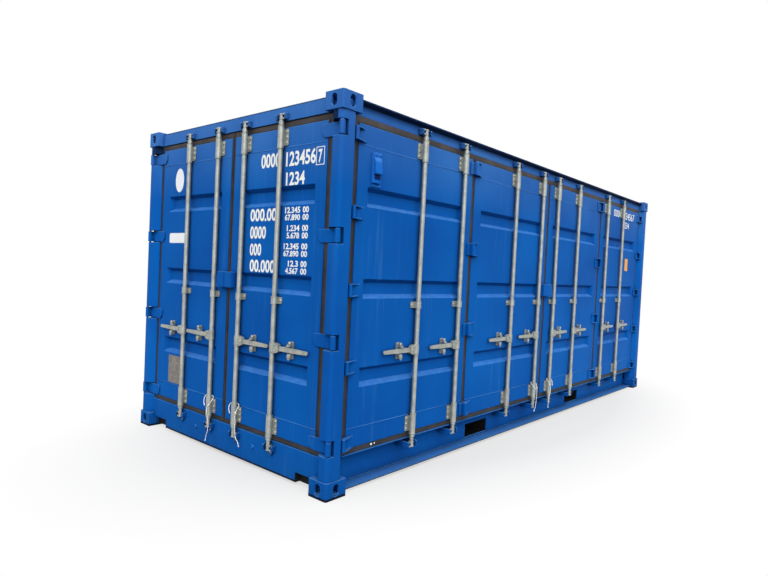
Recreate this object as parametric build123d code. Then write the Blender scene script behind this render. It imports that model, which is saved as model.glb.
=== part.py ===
from build123d import *
import os
from math import radians, tan

# Shipping container, 20 ft long and 8 ft 6 in high, with end doors and folding side doors.
# X runs along the length, Y across, Z up. The end doors face -X, the side doors face -Y.
# The origin is on the ground under the middle of the container. All sizes are in mm.

# Overall size over the corner castings
length = 6058
width = 2438
height = 2591
half_length = length / 2
half_width = width / 2

# Corner castings
casting_x = 178
casting_y = 162
casting_z = 118
casting_wall = 14
casting_cap = 28
casting_corner_radius = 14.5
aperture_length = 124
aperture_width = 63.5
aperture_from_end = 102.5
aperture_from_side = 89.5
side_hole_height = 79.5
side_hole_width = 51

# Door openings, measured from the middle or from the ground
end_opening_half = half_width - 137
side_opening_half = half_length - casting_x
opening_bottom = 247
opening_top = height - 115
base_height = 22
header_top = height - 14

# Doors
door_inset = 55
leaf_thickness = 50
leaf_bottom = opening_bottom + 39
leaf_top = opening_top - 46
end_leaf_edge = end_opening_half - 42
side_leaf_edge = side_opening_half - 33
leaf_joint_x = side_opening_half // 2
leaf_gap = 46
panel_thickness = 4
leaf_frame_width = 92
leaf_rail_height = 138
rib_centres = (leaf_bottom + 467, (leaf_bottom + leaf_top) / 2 - 8, leaf_top - 468)
rib_height = 130
rib_depth = 34
rib_slope = 26
rib_margin = 104
rib_margin_joint = 116

# Rubber seals
seal_clear = 5
seal_front = 60
seal_depth = 32
meeting_clear = 4.5

# Frame
post_face = 8
end_face_reach = 89
side_face_reach = 122
return_inset = 58
post_corner_radius = 28
stop_inset = 112
stop_thickness = 13
stop_reach = 20
header_face = 50
sill_face = 52
sill_notch_length = 198
sill_notch_top = 90
web_inset = 142
flange_thickness = 8
frame_wall = 6
rail_top = height - 18
rail_bottom = height - 118
back_rail_height = 208
front_rail_height = 160
floor_top = 245
floor_thickness = 28

# Walls and roof
wall_thickness = 3
wall_face = 46
wall_depth = 36
wall_pitch = 278
wall_flat = 72
wall_slope = 67
roof_pitch = 209
roof_depth = 20
roof_flat = 91
roof_slope = 13.5

# Fork pockets
pocket_x = 1045
pocket_width = 360
pocket_bottom = 45
pocket_height = 115

# Lock rods
rod_radius = 17
rod_wall = 3
end_rod_inset = 30
side_rod_inset = 25
end_rod_halves = (end_leaf_edge - 450, 170)
end_rod_places = (end_rod_halves[0], end_rod_halves[1], -end_rod_halves[1], -end_rod_halves[0])
side_rod_halves = (177, leaf_joint_x - 707, leaf_joint_x + 173, side_leaf_edge - 678)
side_rod_places = tuple(-place for place in reversed(side_rod_halves)) + side_rod_halves
bearing_clear = 1
bearing_wall = 5
bearing_length = 150
bearing_bottom_z = leaf_bottom - 10
bearing_top_z = leaf_top - 142
guide_length = 46
guide_z = 1212
bolt_plate_width = 38
bolt_plate_height = 114
bolt_plate_offset = 39
bolt_plate_thickness = 8
cam_height = 44
cam_neck_radius = 14
cam_finger_reach = 35
cam_inner_reach = 30
cam_finger_thickness = 10
fitting_radius = 19.5
keeper_lug_offset = 41
keeper_lug_width = 12
keeper_height = 44
keeper_lug_front = 12
keeper_base = 3
keeper_corner_radius = 12
keeper_hole_radius = 4
rod_bottom = 178
rod_top = height - 67
handle_z = 906
handle_reach = 368
handle_height = 34
handle_thickness = 9
handle_tip_height = 24
hub_offset = 50
hub_width = 48
hub_height = 72
catch_offset = 188
catch_width = 28
catch_height = 120
catch_tab_radius = 17
catch_arm_thickness = 10
catch_stem_half = 8

# End door hinges
pin_inset = 24
pin_radius = 9
pin_clear = 0.5
knuckle_radius = 17
knuckle_height = 88
hinge_slot_height = 104
hinge_slot_reach = 64
hinge_span = (leaf_bottom + 44, leaf_top - 69)
end_hinge_heights = tuple(hinge_span[0] + (hinge_span[1] - hinge_span[0]) * i / 3 for i in range(4))
blade_thickness = 9
blade_height = 88
blade_end = end_leaf_edge - 55
blade_slant = 30

# Side door hinges
side_hinge_span = (leaf_bottom + 39, leaf_top - 77)
side_hinge_heights = tuple(side_hinge_span[0] + (side_hinge_span[1] - side_hinge_span[0]) * i / 4 for i in range(5))
joint_hinge_span = (leaf_bottom + 64, leaf_top - 73)
joint_hinge_heights = tuple(joint_hinge_span[0] + (joint_hinge_span[1] - joint_hinge_span[0]) * i / 3 for i in range(4))
side_pin_x = half_length - 160
side_pin_inset = 24
side_knuckle_radius = 15
side_blade_reach = 118

# Lock boxes
lock_box_half = 93
lock_box_bottom = 1295
lock_box_height = 118
lock_box_front = 8
lock_box_gap = 3
lock_box_wall = 4

# Ventilator cover
vent_width = 80
vent_height = 202

# Cords tied round four rods above their lower guides
# Each tail is given from the knot down as (x, y, z) from the rod's axis, with -Y outwards.
cord_radius = 2.5
cord_loop_z = 423.5
end_cord_2_tail = (
    (16, -31, 343), (21, -29, 292), (28, -23, 242), (31, -20, 198), (24, -20, 156), (8, -21, 117), (-2, -20, 77),
)
end_cord_3_tail = (
    (46, -27, 350), (53, -25, 305), (50, -26, 262), (51, -22, 222), (56, -22, 186), (84, -17, 160), (91, -14, 130),
)
side_cord_4_tail = (
    (18, -31, 350), (24, -29, 306), (30, -24, 254), (31, -21, 208), (20, -20, 170), (-2, -20, 143),
)
side_cord_5_tail = (
    (-18, -31, 348), (-22, -29, 296), (-30, -24, 246), (-31, -21, 202), (-33, -20, 166), (-31, -19, 132),
)

os.makedirs("parts", exist_ok=True)


def save(shape, name):
    shape.label = name
    export_step(shape, "parts/" + name + ".step")
    print(name, round(shape.volume / 1e6, 2), "litres", len(shape.solids()), "solids")


def block(x0, x1, y0, y1, z0, z1):
    # box between two corners
    low = (min(x0, x1), min(y0, y1), min(z0, z1))
    return Pos(*low) * Box(abs(x1 - x0), abs(y1 - y0), abs(z1 - z0), align=(Align.MIN,) * 3)


def post_upright(x, y, z0, z1, radius):
    # round bar standing upright
    return Pos(x, y, z0) * Cylinder(radius, z1 - z0, align=(Align.CENTER, Align.CENTER, Align.MIN))


def extruded_outline(points, z0, z1):
    # closed outline in X and Y raised between two heights
    face = make_face(Polyline(*points, close=True))
    return Pos(0, 0, z0) * extrude(face, z1 - z0)


def rail_along_x(points, x0, x1):
    # closed outline of (y, z) points run along X
    wire = Polyline(*[(x0, y, z) for y, z in points], close=True)
    return extrude(make_face(wire), x1 - x0, dir=(1, 0, 0))


def rail_along_y(points, y0, y1):
    # closed outline of (x, z) points run along Y
    wire = Polyline(*[(x, y0, z) for x, z in points], close=True)
    return extrude(make_face(wire), y1 - y0, dir=(0, 1, 0))


def joined(parts):
    total = parts[0]
    for part in parts[1:]:
        total = total + part
    return total


# Corner castings
def casting(side_x, side_y, upper):
    # one hollow corner casting with its three apertures
    base = height - casting_z if upper else 0
    x_out = side_x * half_length
    y_out = side_y * half_width
    x_in = x_out - side_x * casting_x
    y_in = y_out - side_y * casting_y
    body = block(x_out, x_in, y_out, y_in, base, base + casting_z)
    corner = body.edges().filter_by(Axis.Z).sort_by(lambda e: -side_x * e.center().X - side_y * e.center().Y)[0]
    body = fillet(corner, casting_corner_radius)
    low = base + (casting_wall if upper else casting_cap)
    high = base + casting_z - (casting_cap if upper else casting_wall)
    wall = casting_wall
    body -= block(x_out - side_x * wall, x_in + side_x * wall, y_out - side_y * wall, y_in + side_y * wall, low, high)
    mid_x = (x_out + x_in) / 2
    mid_y = (y_out + y_in) / 2
    cap_z = base + casting_z - casting_cap / 2 if upper else base + casting_cap / 2
    slot = extrude(SlotOverall(aperture_length, aperture_width), casting_cap, both=True)
    body -= Pos(x_out - side_x * aperture_from_end, y_out - side_y * aperture_from_side, cap_z) * slot
    mid_z = base + casting_z / 2
    oval = extrude(SlotOverall(side_hole_height, side_hole_width), wall, both=True)
    body -= Pos(x_out, mid_y, mid_z) * Rot(0, 90, 0) * oval
    body -= Pos(mid_x, y_out, mid_z) * Rot(90, 0, 0) * Rot(0, 0, 90) * oval
    return body


def castings():
    corners = [(-1, -1), (-1, 1), (1, -1), (1, 1)]
    return [casting(sx, sy, upper) for sx, sy in corners for upper in (False, True)]


# Posts
def door_post(side_y, with_side_opening):
    # corner post at the door end, with a stop for the end door and slots for its hinges
    x0 = -half_length
    y0 = side_y * half_width

    def at(inset_x, inset_y):
        return (x0 + inset_x, y0 - side_y * inset_y)

    end_edge = half_width - end_opening_half
    side_edge = half_length - side_opening_half
    outline = [at(post_face, post_face)]
    if with_side_opening:
        outline += [at(side_face_reach, post_face), at(side_edge, return_inset)]
        outline += [at(side_edge, stop_inset - 4), at(side_edge + stop_reach, stop_inset - 4)]
        outline += [at(side_edge + stop_reach, stop_inset + 8)]
    else:
        outline += [at(side_edge, post_face), at(side_edge, stop_inset + 8)]
    back = stop_inset + stop_thickness
    outline += [at(back, stop_inset + 8), at(back, end_edge + stop_reach)]
    outline += [at(stop_inset, end_edge + stop_reach), at(stop_inset, end_edge)]
    outline += [at(return_inset, end_edge), at(post_face, end_face_reach)]
    body = extruded_outline(outline, casting_z, height - casting_z)
    corner = body.edges().filter_by(Axis.Z).sort_by(lambda e: e.center().X - side_y * e.center().Y)[0]
    body = fillet(corner, post_corner_radius)
    core = hinge_slot_reach + 6
    bar = side_face_reach - 12
    inner = [at(core, 14), at(bar, 14), at(bar, 64), at(side_edge - 6, 64)]
    inner += [at(side_edge - 6, stop_inset + 2), at(back - 6, stop_inset + 2)]
    inner += [at(back - 6, end_edge - 6), at(core, end_edge - 6)]
    body -= extruded_outline(inner, casting_z + 10, height - casting_z - 10)
    pin_x = x0 + pin_inset
    pin_y = y0 - side_y * pin_inset
    for z in end_hinge_heights:
        z0 = z - hinge_slot_height / 2
        z1 = z + hinge_slot_height / 2
        reach = y0 - side_y * (end_edge + 2)
        body -= block(x0 - 1, x0 + hinge_slot_reach, y0 + side_y, reach, z0, z1)
        body -= post_upright(pin_x, pin_y, z0 - 16, z0 + 1, pin_radius)
        body -= post_upright(pin_x, pin_y, z1 - 1, z1 + 16, pin_radius)
    if with_side_opening:
        for z in side_hinge_heights:
            near = x0 + side_edge - 34
            body -= block(near, x0 + side_edge + 2, y0 + side_y, y0 - side_y * 58, z - 48, z + 48)
    return body


def front_post(side_y, with_side_opening):
    # corner post at the closed end
    x0 = half_length
    y0 = side_y * half_width

    def at(inset_x, inset_y):
        return (x0 - inset_x, y0 - side_y * inset_y)

    side_edge = half_length - side_opening_half
    inner_edge = casting_y - 12
    outline = [at(post_face, post_face)]
    if with_side_opening:
        outline += [at(side_face_reach, post_face), at(side_edge, return_inset)]
        outline += [at(side_edge, stop_inset - 4), at(side_edge + stop_reach, stop_inset - 4)]
        outline += [at(side_edge + stop_reach, stop_inset + 8), at(80, stop_inset + 8)]
    else:
        outline += [at(side_edge, post_face), at(side_edge, 80), at(80, 80)]
    outline += [at(80, inner_edge), at(post_face, inner_edge)]
    body = extruded_outline(outline, casting_z, height - casting_z)
    corner = body.edges().filter_by(Axis.Z).sort_by(lambda e: -e.center().X - side_y * e.center().Y)[0]
    body = fillet(corner, post_corner_radius)
    deep = stop_inset + 2 if with_side_opening else 74
    bar = side_face_reach - 12
    inner = [at(14, 14), at(bar, 14), at(bar, 64), at(side_edge - 6, 64)]
    inner += [at(side_edge - 6, deep), at(74, deep)]
    inner += [at(74, inner_edge - 6), at(14, inner_edge - 6)]
    body -= extruded_outline(inner, casting_z + 10, height - casting_z - 10)
    if with_side_opening:
        for z in side_hinge_heights:
            near = x0 - side_edge + 34
            body -= block(near, x0 - side_edge - 2, y0 + side_y, y0 - side_y * 58, z - 48, z + 48)
    return body


# Rails at the door end
def door_header():
    x0 = -half_length
    front = x0 + header_face
    stop = x0 + stop_inset
    back = x0 + stop_inset + stop_thickness
    outline = [(front, opening_top), (stop, opening_top), (stop, opening_top - stop_reach)]
    outline += [(back, opening_top - stop_reach), (back, header_top), (front, header_top)]
    inner = [(front + 6, opening_top + 6), (back - 6, opening_top + 6), (back - 6, header_top - 6)]
    inner += [(front + 6, header_top - 6)]
    reach = half_width - casting_y
    body = rail_along_y(outline, -reach, reach)
    body -= rail_along_y(inner, -reach + 10, reach - 10)
    return body


def door_sill():
    x0 = -half_length
    front = x0 + sill_face
    stop = x0 + stop_inset
    back = x0 + stop_inset + stop_thickness
    reach = end_opening_half
    outline = [(front, base_height), (back, base_height), (back, opening_bottom + stop_reach)]
    outline += [(stop, opening_bottom + stop_reach), (stop, opening_bottom), (front, opening_bottom)]
    inner = [(front + 6, base_height - 1), (back - 6, base_height - 1), (back - 6, opening_bottom - 6)]
    inner += [(front + 6, opening_bottom - 6)]
    body = rail_along_y(outline, -reach, reach)
    body -= rail_along_y(inner, -reach + 10, reach - 10)
    notch_in = half_width - casting_y - sill_notch_length
    for side in (-1, 1):
        body -= block(front - 1, back + 1, side * notch_in, side * (reach + 1), base_height - 2, sill_notch_top)
        casting_in = half_width - casting_y
        body -= block(front - 1, back + 1, side * casting_in, side * (reach + 1), 90, casting_z)
        body -= block(stop, back + 1, side * (reach - stop_reach), side * (reach + 1), 90, height / 2)
    return body


# Rails along the open side
def side_top_rail():
    y0 = -half_width
    reach = half_length - casting_x
    web = y0 + 60
    lip = y0 + 30
    outline = [(web, opening_top), (web, rail_top - 33), (lip, rail_top - 11), (lip, rail_top), (y0 + 150, rail_top)]
    outline += [(y0 + 150, opening_top - stop_reach), (y0 + stop_inset - 4, opening_top - stop_reach)]
    outline += [(y0 + stop_inset - 4, opening_top)]
    inner = [(web + 6, opening_top + 6), (web + 6, rail_top - 6), (y0 + 144, rail_top - 6), (y0 + 144, opening_top + 6)]
    body = rail_along_x(outline, -reach, reach)
    body -= rail_along_x(inner, -reach + 10, reach - 10)
    return clear_of_post_stops(body)


def clear_of_post_stops(body):
    y0 = -half_width
    for side in (-1, 1):
        x_stop = side * (side_opening_half - stop_reach)
        x_post = side * side_opening_half
        body -= block(x_stop, x_post, y0 + stop_inset - 4, y0 + stop_inset + 8, casting_z, height - casting_z)
    return body


def side_bottom_rail():
    y0 = -half_width
    reach = half_length - casting_x
    web = y0 + web_inset
    lip = y0 + 50
    toe = y0 + 32
    t = flange_thickness
    outline = [(toe, base_height), (web + t, base_height), (web + t, opening_bottom + stop_reach)]
    outline += [(y0 + stop_inset - 4, opening_bottom + stop_reach), (y0 + stop_inset - 4, opening_bottom)]
    outline += [(lip, opening_bottom), (lip, opening_bottom - t), (web, opening_bottom - t)]
    outline += [(web, base_height + t), (toe, base_height + t)]
    lengths = [rail_along_x(outline, x0, x1) for x0, x1 in rail_lengths(reach)]
    return [clear_of_post_stops(length) for length in lengths]


def rail_lengths(reach):
    # the three lengths of a bottom rail beside and between the fork pockets
    half = pocket_width / 2
    return [(-reach, -pocket_x - half), (-pocket_x + half, pocket_x - half), (pocket_x + half, reach)]


def pocket_frames():
    # upper and lower straps that carry both bottom rails past the fork pockets
    y0 = -half_width
    web = y0 + web_inset
    stop = y0 + stop_inset - 4
    t = flange_thickness
    z0 = pocket_bottom
    z1 = pocket_bottom + pocket_height
    low = opening_bottom - t
    high = opening_bottom + stop_reach
    door_upper = [(web, z1), (web + t, z1), (web + t, high), (stop, high), (stop, opening_bottom)]
    door_upper += [(y0 + 50, opening_bottom), (y0 + 50, low), (web, low)]
    door_lower = [(y0 + 32, base_height), (web + t, base_height), (web + t, z0), (web, z0)]
    door_lower += [(web, base_height + t), (y0 + 32, base_height + t)]
    face = half_width - 40
    top = back_rail_height
    back_upper = [(face, z1), (face, top), (face - 60, top), (face - 60, top - t), (face - t, top - t), (face - t, z1)]
    back_lower = [(face, base_height), (face, z0), (face - t, z0), (face - t, base_height + t)]
    back_lower += [(face - 60, base_height + t), (face - 60, base_height)]
    parts = []
    for x in (-pocket_x, pocket_x):
        for outline in (door_upper, door_lower, back_upper, back_lower):
            parts.append(rail_along_x(outline, x - pocket_width / 2, x + pocket_width / 2))
    return parts


# Rails along the closed side and the closed end
def back_top_rail():
    y0 = half_width
    reach = half_length - casting_x
    low = rail_bottom
    high = rail_top
    outline = [(y0 - 40, low), (y0 - 40, high), (y0 - 110, high), (y0 - 110, high - 10), (y0 - 100, high - 10)]
    outline += [(y0 - 100, low + 10), (y0 - 110, low + 10), (y0 - 110, low)]
    body = rail_along_x(outline, -reach, reach)
    inner = [(y0 - 46, low + 6), (y0 - 46, high - 6), (y0 - 94, high - 6), (y0 - 94, low + 6)]
    return body - rail_along_x(inner, -reach + 10, reach - 10)


def back_bottom_rail():
    y0 = half_width
    reach = half_length - casting_x
    face = y0 - 40
    t = flange_thickness
    top = back_rail_height
    outline = [(face, base_height), (face, top), (face - 60, top), (face - 60, top - t), (face - t, top - t)]
    outline += [(face - t, base_height + t), (face - 60, base_height + t), (face - 60, base_height)]
    return [rail_along_x(outline, x0, x1) for x0, x1 in rail_lengths(reach)]


def front_top_rail():
    x0 = half_length
    reach = half_width - casting_y
    low = rail_bottom
    high = rail_top
    outline = [(x0 - 20, low), (x0 - 20, high), (x0 - 90, high), (x0 - 90, low)]
    inner = [(x0 - 26, low + 6), (x0 - 26, high - 6), (x0 - 84, high - 6), (x0 - 84, low + 6)]
    body = rail_along_y(outline, -reach, reach)
    return body - rail_along_y(inner, -reach + 10, reach - 10)


def front_bottom_rail():
    x0 = half_length
    reach = half_width - casting_y
    low = base_height
    high = front_rail_height
    outline = [(x0 - 20, low), (x0 - 20, high), (x0 - 90, high), (x0 - 90, low)]
    inner = [(x0 - 26, low + 6), (x0 - 26, high - 6), (x0 - 84, high - 6), (x0 - 84, low + 6)]
    body = rail_along_y(outline, -reach, reach)
    return body - rail_along_y(inner, -reach + 10, reach - 10)


# Corrugated sheets
def wave_points(start, stop, pitch, flat, slope, depth):
    # trapezoid wave that starts and ends on an outer flat, as (along, depth) points
    count = int((stop - start - flat) // pitch)
    lead = (stop - start - count * pitch - flat) / 2
    points = [(start, 0)]
    place = start + lead + flat
    for _ in range(count):
        points += [(place, 0), (place + slope, depth)]
        points += [(place + pitch - flat - slope, depth), (place + pitch - flat, 0)]
        place += pitch
    points.append((stop, 0))
    return points


def back_wall():
    y_face = half_width - wall_face
    wave = wave_points(-side_opening_half, side_opening_half, wall_pitch, wall_flat, wall_slope, wall_depth)
    outer = [(a, y_face - d) for a, d in wave]
    inner = [(a, y_face - wall_thickness - d) for a, d in reversed(wave)]
    return extruded_outline(outer + inner, back_rail_height, rail_bottom)


def front_wall():
    x_face = half_length - 30
    reach = half_width - casting_y + 12
    wave = wave_points(-reach, reach, wall_pitch, wall_flat, wall_slope, wall_depth)
    outer = [(x_face - d, a) for a, d in wave]
    inner = [(x_face - wall_thickness - d, a) for a, d in reversed(wave)]
    return extruded_outline(outer + inner, front_rail_height, rail_bottom)


def roof():
    x0 = -half_length + stop_inset + stop_thickness
    x1 = half_length - 90
    y0 = -half_width + 150
    y1 = half_width - 110
    top = height - 12
    wave = wave_points(x0, x1, roof_pitch, roof_flat, roof_slope, roof_depth)
    upper = [(a, top - d) for a, d in wave]
    lower = [(a, top - wall_thickness - d) for a, d in reversed(wave)]
    wire = Polyline(*[(a, y0, z) for a, z in upper + lower], close=True)
    sheet = extrude(make_face(wire), y1 - y0, dir=(0, 1, 0))
    for side_x in (-1, 1):
        for side_y in (-1, 1):
            x_in = side_x * (half_length - casting_x)
            y_in = side_y * (half_width - casting_y)
            sheet -= block(x_in, side_x * half_length, y_in, side_y * half_width, height - 91, height)
    return sheet


# Floor
def floor_boards():
    x0 = -half_length + stop_inset + stop_thickness
    x1 = half_length - 90
    y0 = -half_width + web_inset + flange_thickness
    y1 = half_width - 90
    boards = block(x0, x1, y0, y1, floor_top - floor_thickness, floor_top)
    post_in = half_width - stop_inset - 8
    return boards - block(x0 - 1, -side_opening_half, post_in, y1 + 1, 200, 300)


def floor_beams():
    # channel beams across the base
    y0 = -half_width + web_inset + flange_thickness
    y1 = half_width - 100
    top = floor_top - floor_thickness
    parts = []
    pitch = 300
    t = 5
    for i in range(-9, 10):
        x = i * pitch
        if abs(abs(x) - pocket_x) < pocket_width / 2 + 40:
            continue
        web = block(x, x + t, y0, y1, top - 130, top)
        upper = block(x, x + 45, y0, y1, top - t, top)
        lower = block(x, x + 45, y0, y1, top - 130, top - 130 + t)
        parts.append(web + upper + lower)
    return parts


def fork_tunnels():
    # bottom and top plates of the two fork tunnels, from rail to rail
    y0 = -half_width + web_inset + flange_thickness
    y1 = half_width - 40 - flange_thickness
    half = pocket_width / 2
    z0 = pocket_bottom
    z1 = pocket_bottom + pocket_height
    parts = []
    for x in (-pocket_x, pocket_x):
        parts.append(block(x - half - 6, x + half + 6, y0, y1, z0 - 6, z0))
        parts.append(block(x - half, x + half, y0, y1, z1, z1 + 6))
    return parts


def tunnel_walls():
    # side walls of the fork tunnels, raised to the floor like the beams beside them
    y0 = -half_width + web_inset + flange_thickness
    y1 = half_width - 40 - flange_thickness
    half = pocket_width / 2
    z0 = pocket_bottom
    z1 = pocket_bottom + pocket_height + 6
    parts = []
    for x in (-pocket_x, pocket_x):
        for side in (-1, 1):
            inner = x + side * half
            outer = x + side * (half + 6)
            wall = block(inner, outer, y0, y1, z0, z1)
            parts.append(wall + block(inner, outer, y0, half_width - 100, z1, floor_top - floor_thickness))
    return parts


# Door leaves
def rib_solid(along0, along1, centre, depth0, depth1, grow, place):
    # tapered pressing between the door face and its bottom
    def outline(depth, shrink):
        a0 = along0 + shrink - grow
        a1 = along1 - shrink + grow
        z0 = centre - rib_height / 2 + shrink - grow
        z1 = centre + rib_height / 2 - shrink + grow
        return [place(a, depth, z) for a, z in ((a0, z0), (a1, z0), (a1, z1), (a0, z1))]

    def face(depth, shrink):
        return make_face(Polyline(*outline(depth, shrink), close=True))

    share0 = depth0 / rib_depth * rib_slope
    share1 = depth1 / rib_depth * rib_slope
    return loft([face(depth0, share0), face(depth1, share1)])


def door_leaf(along0, along1, margin0, margin1, place):
    # pressed door: a frame of bars with a thin sheet that has three recessed ribs
    def bar(a0, a1, d0, d1, z0, z1):
        p = place(a0, d0, z0)
        q = place(a1, d1, z1)
        return block(p[0], q[0], p[1], q[1], z0, z1)

    body = bar(along0, along1, 0, leaf_thickness, leaf_bottom, leaf_top)
    a0 = along0 + leaf_frame_width
    a1 = along1 - leaf_frame_width
    z0 = leaf_bottom + leaf_rail_height
    z1 = leaf_top - leaf_rail_height
    body -= bar(a0, a1, panel_thickness, leaf_thickness + 1, z0, z1)
    r0 = along0 + margin0
    r1 = along1 - margin1
    for centre in rib_centres:
        body += rib_solid(r0, r1, centre, 0, rib_depth + panel_thickness, panel_thickness, place)
    for centre in rib_centres:
        body -= rib_solid(r0, r1, centre, -1, rib_depth, 0, place)
    return body


def end_place(along, depth, z):
    return (-half_length + door_inset + depth, along, z)


def side_place(along, depth, z):
    return (along, -half_width + door_inset + depth, z)


def end_leaf(side):
    inner = leaf_gap / 2
    if side > 0:
        return door_leaf(inner, end_leaf_edge, rib_margin_joint, rib_margin, end_place)
    return door_leaf(-end_leaf_edge, -inner, rib_margin, rib_margin_joint, end_place)


def side_leaf_limits():
    gap = leaf_gap / 2
    joint = leaf_joint_x
    return [(-side_leaf_edge, -joint - gap), (-joint + gap, -gap), (gap, joint - gap), (joint + gap, side_leaf_edge)]


def end_seal(side):
    # rubber seal round one end leaf
    front = -half_length + seal_front
    back = front + seal_depth
    y_out = side * (end_opening_half - seal_clear)
    y_in = side * meeting_clear
    z0 = opening_bottom + seal_clear
    z1 = opening_top - seal_clear
    ring = block(front, back, y_in, y_out, z0, z1)
    hole_in = side * leaf_gap / 2
    return ring - block(front - 1, back + 1, hole_in, side * end_leaf_edge, leaf_bottom, leaf_top)


def side_seal():
    # rubber seal round and between the four side leaves
    front = -half_width + seal_front
    back = front + seal_depth
    half = side_opening_half
    body = block(-half, half, front, back, opening_bottom, opening_top)
    for x0, x1 in side_leaf_limits():
        body -= block(x0, x1, front - 1, back + 1, leaf_bottom, leaf_top)
    return body


# Lock rods
def cam_finger(reach, z0):
    finger = block(0, reach, -11, 11, z0, z0 + cam_finger_thickness)
    finger = fillet(finger.edges().filter_by(Axis.Z).sort_by(Axis.X)[-2:], 9)
    return finger + post_upright(0, 0, z0, z0 + cam_finger_thickness, cam_neck_radius + 2)


def cam(tip_z, fitting_z0, fitting_z1, upward):
    # forged cam end: a socket on the tube, a neck and two fingers that point the way the handle does
    far = tip_z - upward * cam_finger_thickness
    near = tip_z - upward * (cam_height - cam_finger_thickness - 4)
    tip0 = min(tip_z, far)
    socket = post_upright(0, 0, fitting_z0, fitting_z1, fitting_radius)
    socket = chamfer(socket.edges().filter_by(GeomType.CIRCLE), 2.5)
    inner_z = (fitting_z0 + fitting_z1) / 2
    neck = post_upright(0, 0, min(inner_z, tip_z), max(inner_z, tip_z), cam_neck_radius)
    inner_finger = cam_finger(cam_inner_reach, min(near, near - upward * cam_finger_thickness))
    return socket + neck + cam_finger(cam_finger_reach, tip0) + inner_finger


def lock_rod():
    # one lock rod at the origin with its handle along +X and its outside facing -Y
    low = opening_bottom + 3
    high = opening_top - 3
    tube = post_upright(0, 0, low + 4, high - 4, rod_radius)
    tube -= post_upright(0, 0, low + 12, high - 12, rod_radius - rod_wall)
    upper_cam = cam(rod_top, high - 28, high, 1)
    body = tube + cam(rod_bottom, low, low + 22, -1) + upper_cam
    z0 = handle_z - hub_height / 2
    z1 = handle_z + hub_height / 2
    hub_end = hub_offset + hub_width / 2
    outline = [(rod_radius - 4, z0), (hub_offset - 8, z0), (hub_end, z0 + 9), (hub_end, z1 - 9)]
    outline += [(hub_offset - 8, z1), (rod_radius - 4, z1)]
    hub = extrude(make_face(Polyline(*[(x, -13, z) for x, z in outline], close=True)), 26, dir=(0, 1, 0))
    hub = fillet(hub.edges().filter_by(Axis.Y).sort_by(Axis.X)[-2:], 10)
    collar = post_upright(0, 0, z0 + 4, z1 - 4, rod_radius + 5)
    body += hub + collar
    return body + handle_bar()


def handle_bar():
    # flat bar that lies in the catch and narrows beyond it to a round tip
    half = handle_thickness / 2
    wide = handle_height / 2
    slim = handle_tip_height / 2
    straight = catch_offset + catch_width
    outline = [(hub_offset, -wide), (straight, -wide), (handle_reach, -slim), (handle_reach, slim)]
    outline += [(straight, wide), (hub_offset, wide)]
    wire = Polyline(*[(x, -half, handle_z + z) for x, z in outline], close=True)
    bar = extrude(make_face(wire), handle_thickness, dir=(0, 1, 0))
    return fillet(bar.edges().filter_by(Axis.Y).sort_by(Axis.X)[-2:], 10)


def bearing(z0, length_z, plate_side, leaf_distance):
    # guide round a rod with a bolted plate beside it, fixed to a leaf at the given distance
    bore = rod_radius + bearing_clear
    outer = bore + bearing_wall
    body = post_upright(0, 0, z0, z0 + length_z, outer)
    foot_half = outer - 3
    back0 = leaf_distance - bolt_plate_thickness
    plate_out = plate_side * (bolt_plate_offset + bolt_plate_width / 2)
    inset = (length_z - min(length_z, bolt_plate_height)) / 2
    plate = block(-plate_side * foot_half, plate_out, back0, leaf_distance, z0 + inset, z0 + length_z - inset)
    outer_corners = plate.edges().filter_by(Axis.Y).sort_by(lambda e: plate_side * e.center().X)[-2:]
    body += fillet(outer_corners, 10)
    body += block(-foot_half, foot_half, 0, leaf_distance, z0 + inset, z0 + length_z - inset)
    return body - post_upright(0, 0, z0 - 1, z0 + length_z + 1, bore)


def rod_bearings(plate_side, leaf_distance):
    # the three guides of one rod
    parts = [bearing(bearing_bottom_z, bearing_length, plate_side, leaf_distance)]
    parts.append(bearing(guide_z, guide_length, plate_side, leaf_distance))
    parts.append(bearing(bearing_top_z, bearing_length, plate_side, leaf_distance))
    return parts


def handle_catch(handle_side, leaf_distance):
    # catch on the leaf with the slot that the handle lies in
    x0 = handle_side * (catch_offset - catch_width / 2)
    x1 = handle_side * (catch_offset + catch_width / 2)
    middle = (x0 + x1) / 2
    z0 = handle_z - catch_height / 2
    z1 = handle_z + catch_height / 2
    slot0 = handle_z - handle_height / 2 - 5
    slot1 = handle_z + handle_height / 2 + 5
    front = -12
    back = front + catch_arm_thickness
    plate = block(x0, x1, leaf_distance - 8, leaf_distance, z0, z1)
    stem = catch_stem_half
    stems = block(middle - stem, middle + stem, front + 1, leaf_distance, slot1 + 6, slot1 + 24)
    stems += block(middle - stem, middle + stem, front + 1, leaf_distance, slot0 - 24, slot0 - 6)
    # upper arm, slanting down towards the hub beside the handle
    lean = -handle_side * 30
    corners = [(middle - 9, z1 - 14), (middle + 9, z1 - 14), (middle + lean / 2 + 16, slot1), (middle + lean / 2 - 16, slot1)]
    arm = extrude(make_face(Polyline(*[(x, front, z) for x, z in corners], close=True)), back - front, dir=(0, 1, 0))
    knob = Pos(middle, -4, z1 - 12) * Sphere(13)
    tab_z = slot0 - catch_tab_radius
    tab = Pos(middle, (front + back) / 2, tab_z) * Rot(90, 0, 0) * Cylinder(catch_tab_radius, back - front)
    tab += Pos(middle, (front + back) / 2, tab_z - 14) * Rot(90, 0, 0) * Cylinder(catch_tab_radius - 4, back - front)
    hole = Pos(middle, front, tab_z - 14) * Rot(90, 0, 0) * Cylinder(5, 30)
    return plate + stems + arm + knob + tab - hole


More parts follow.
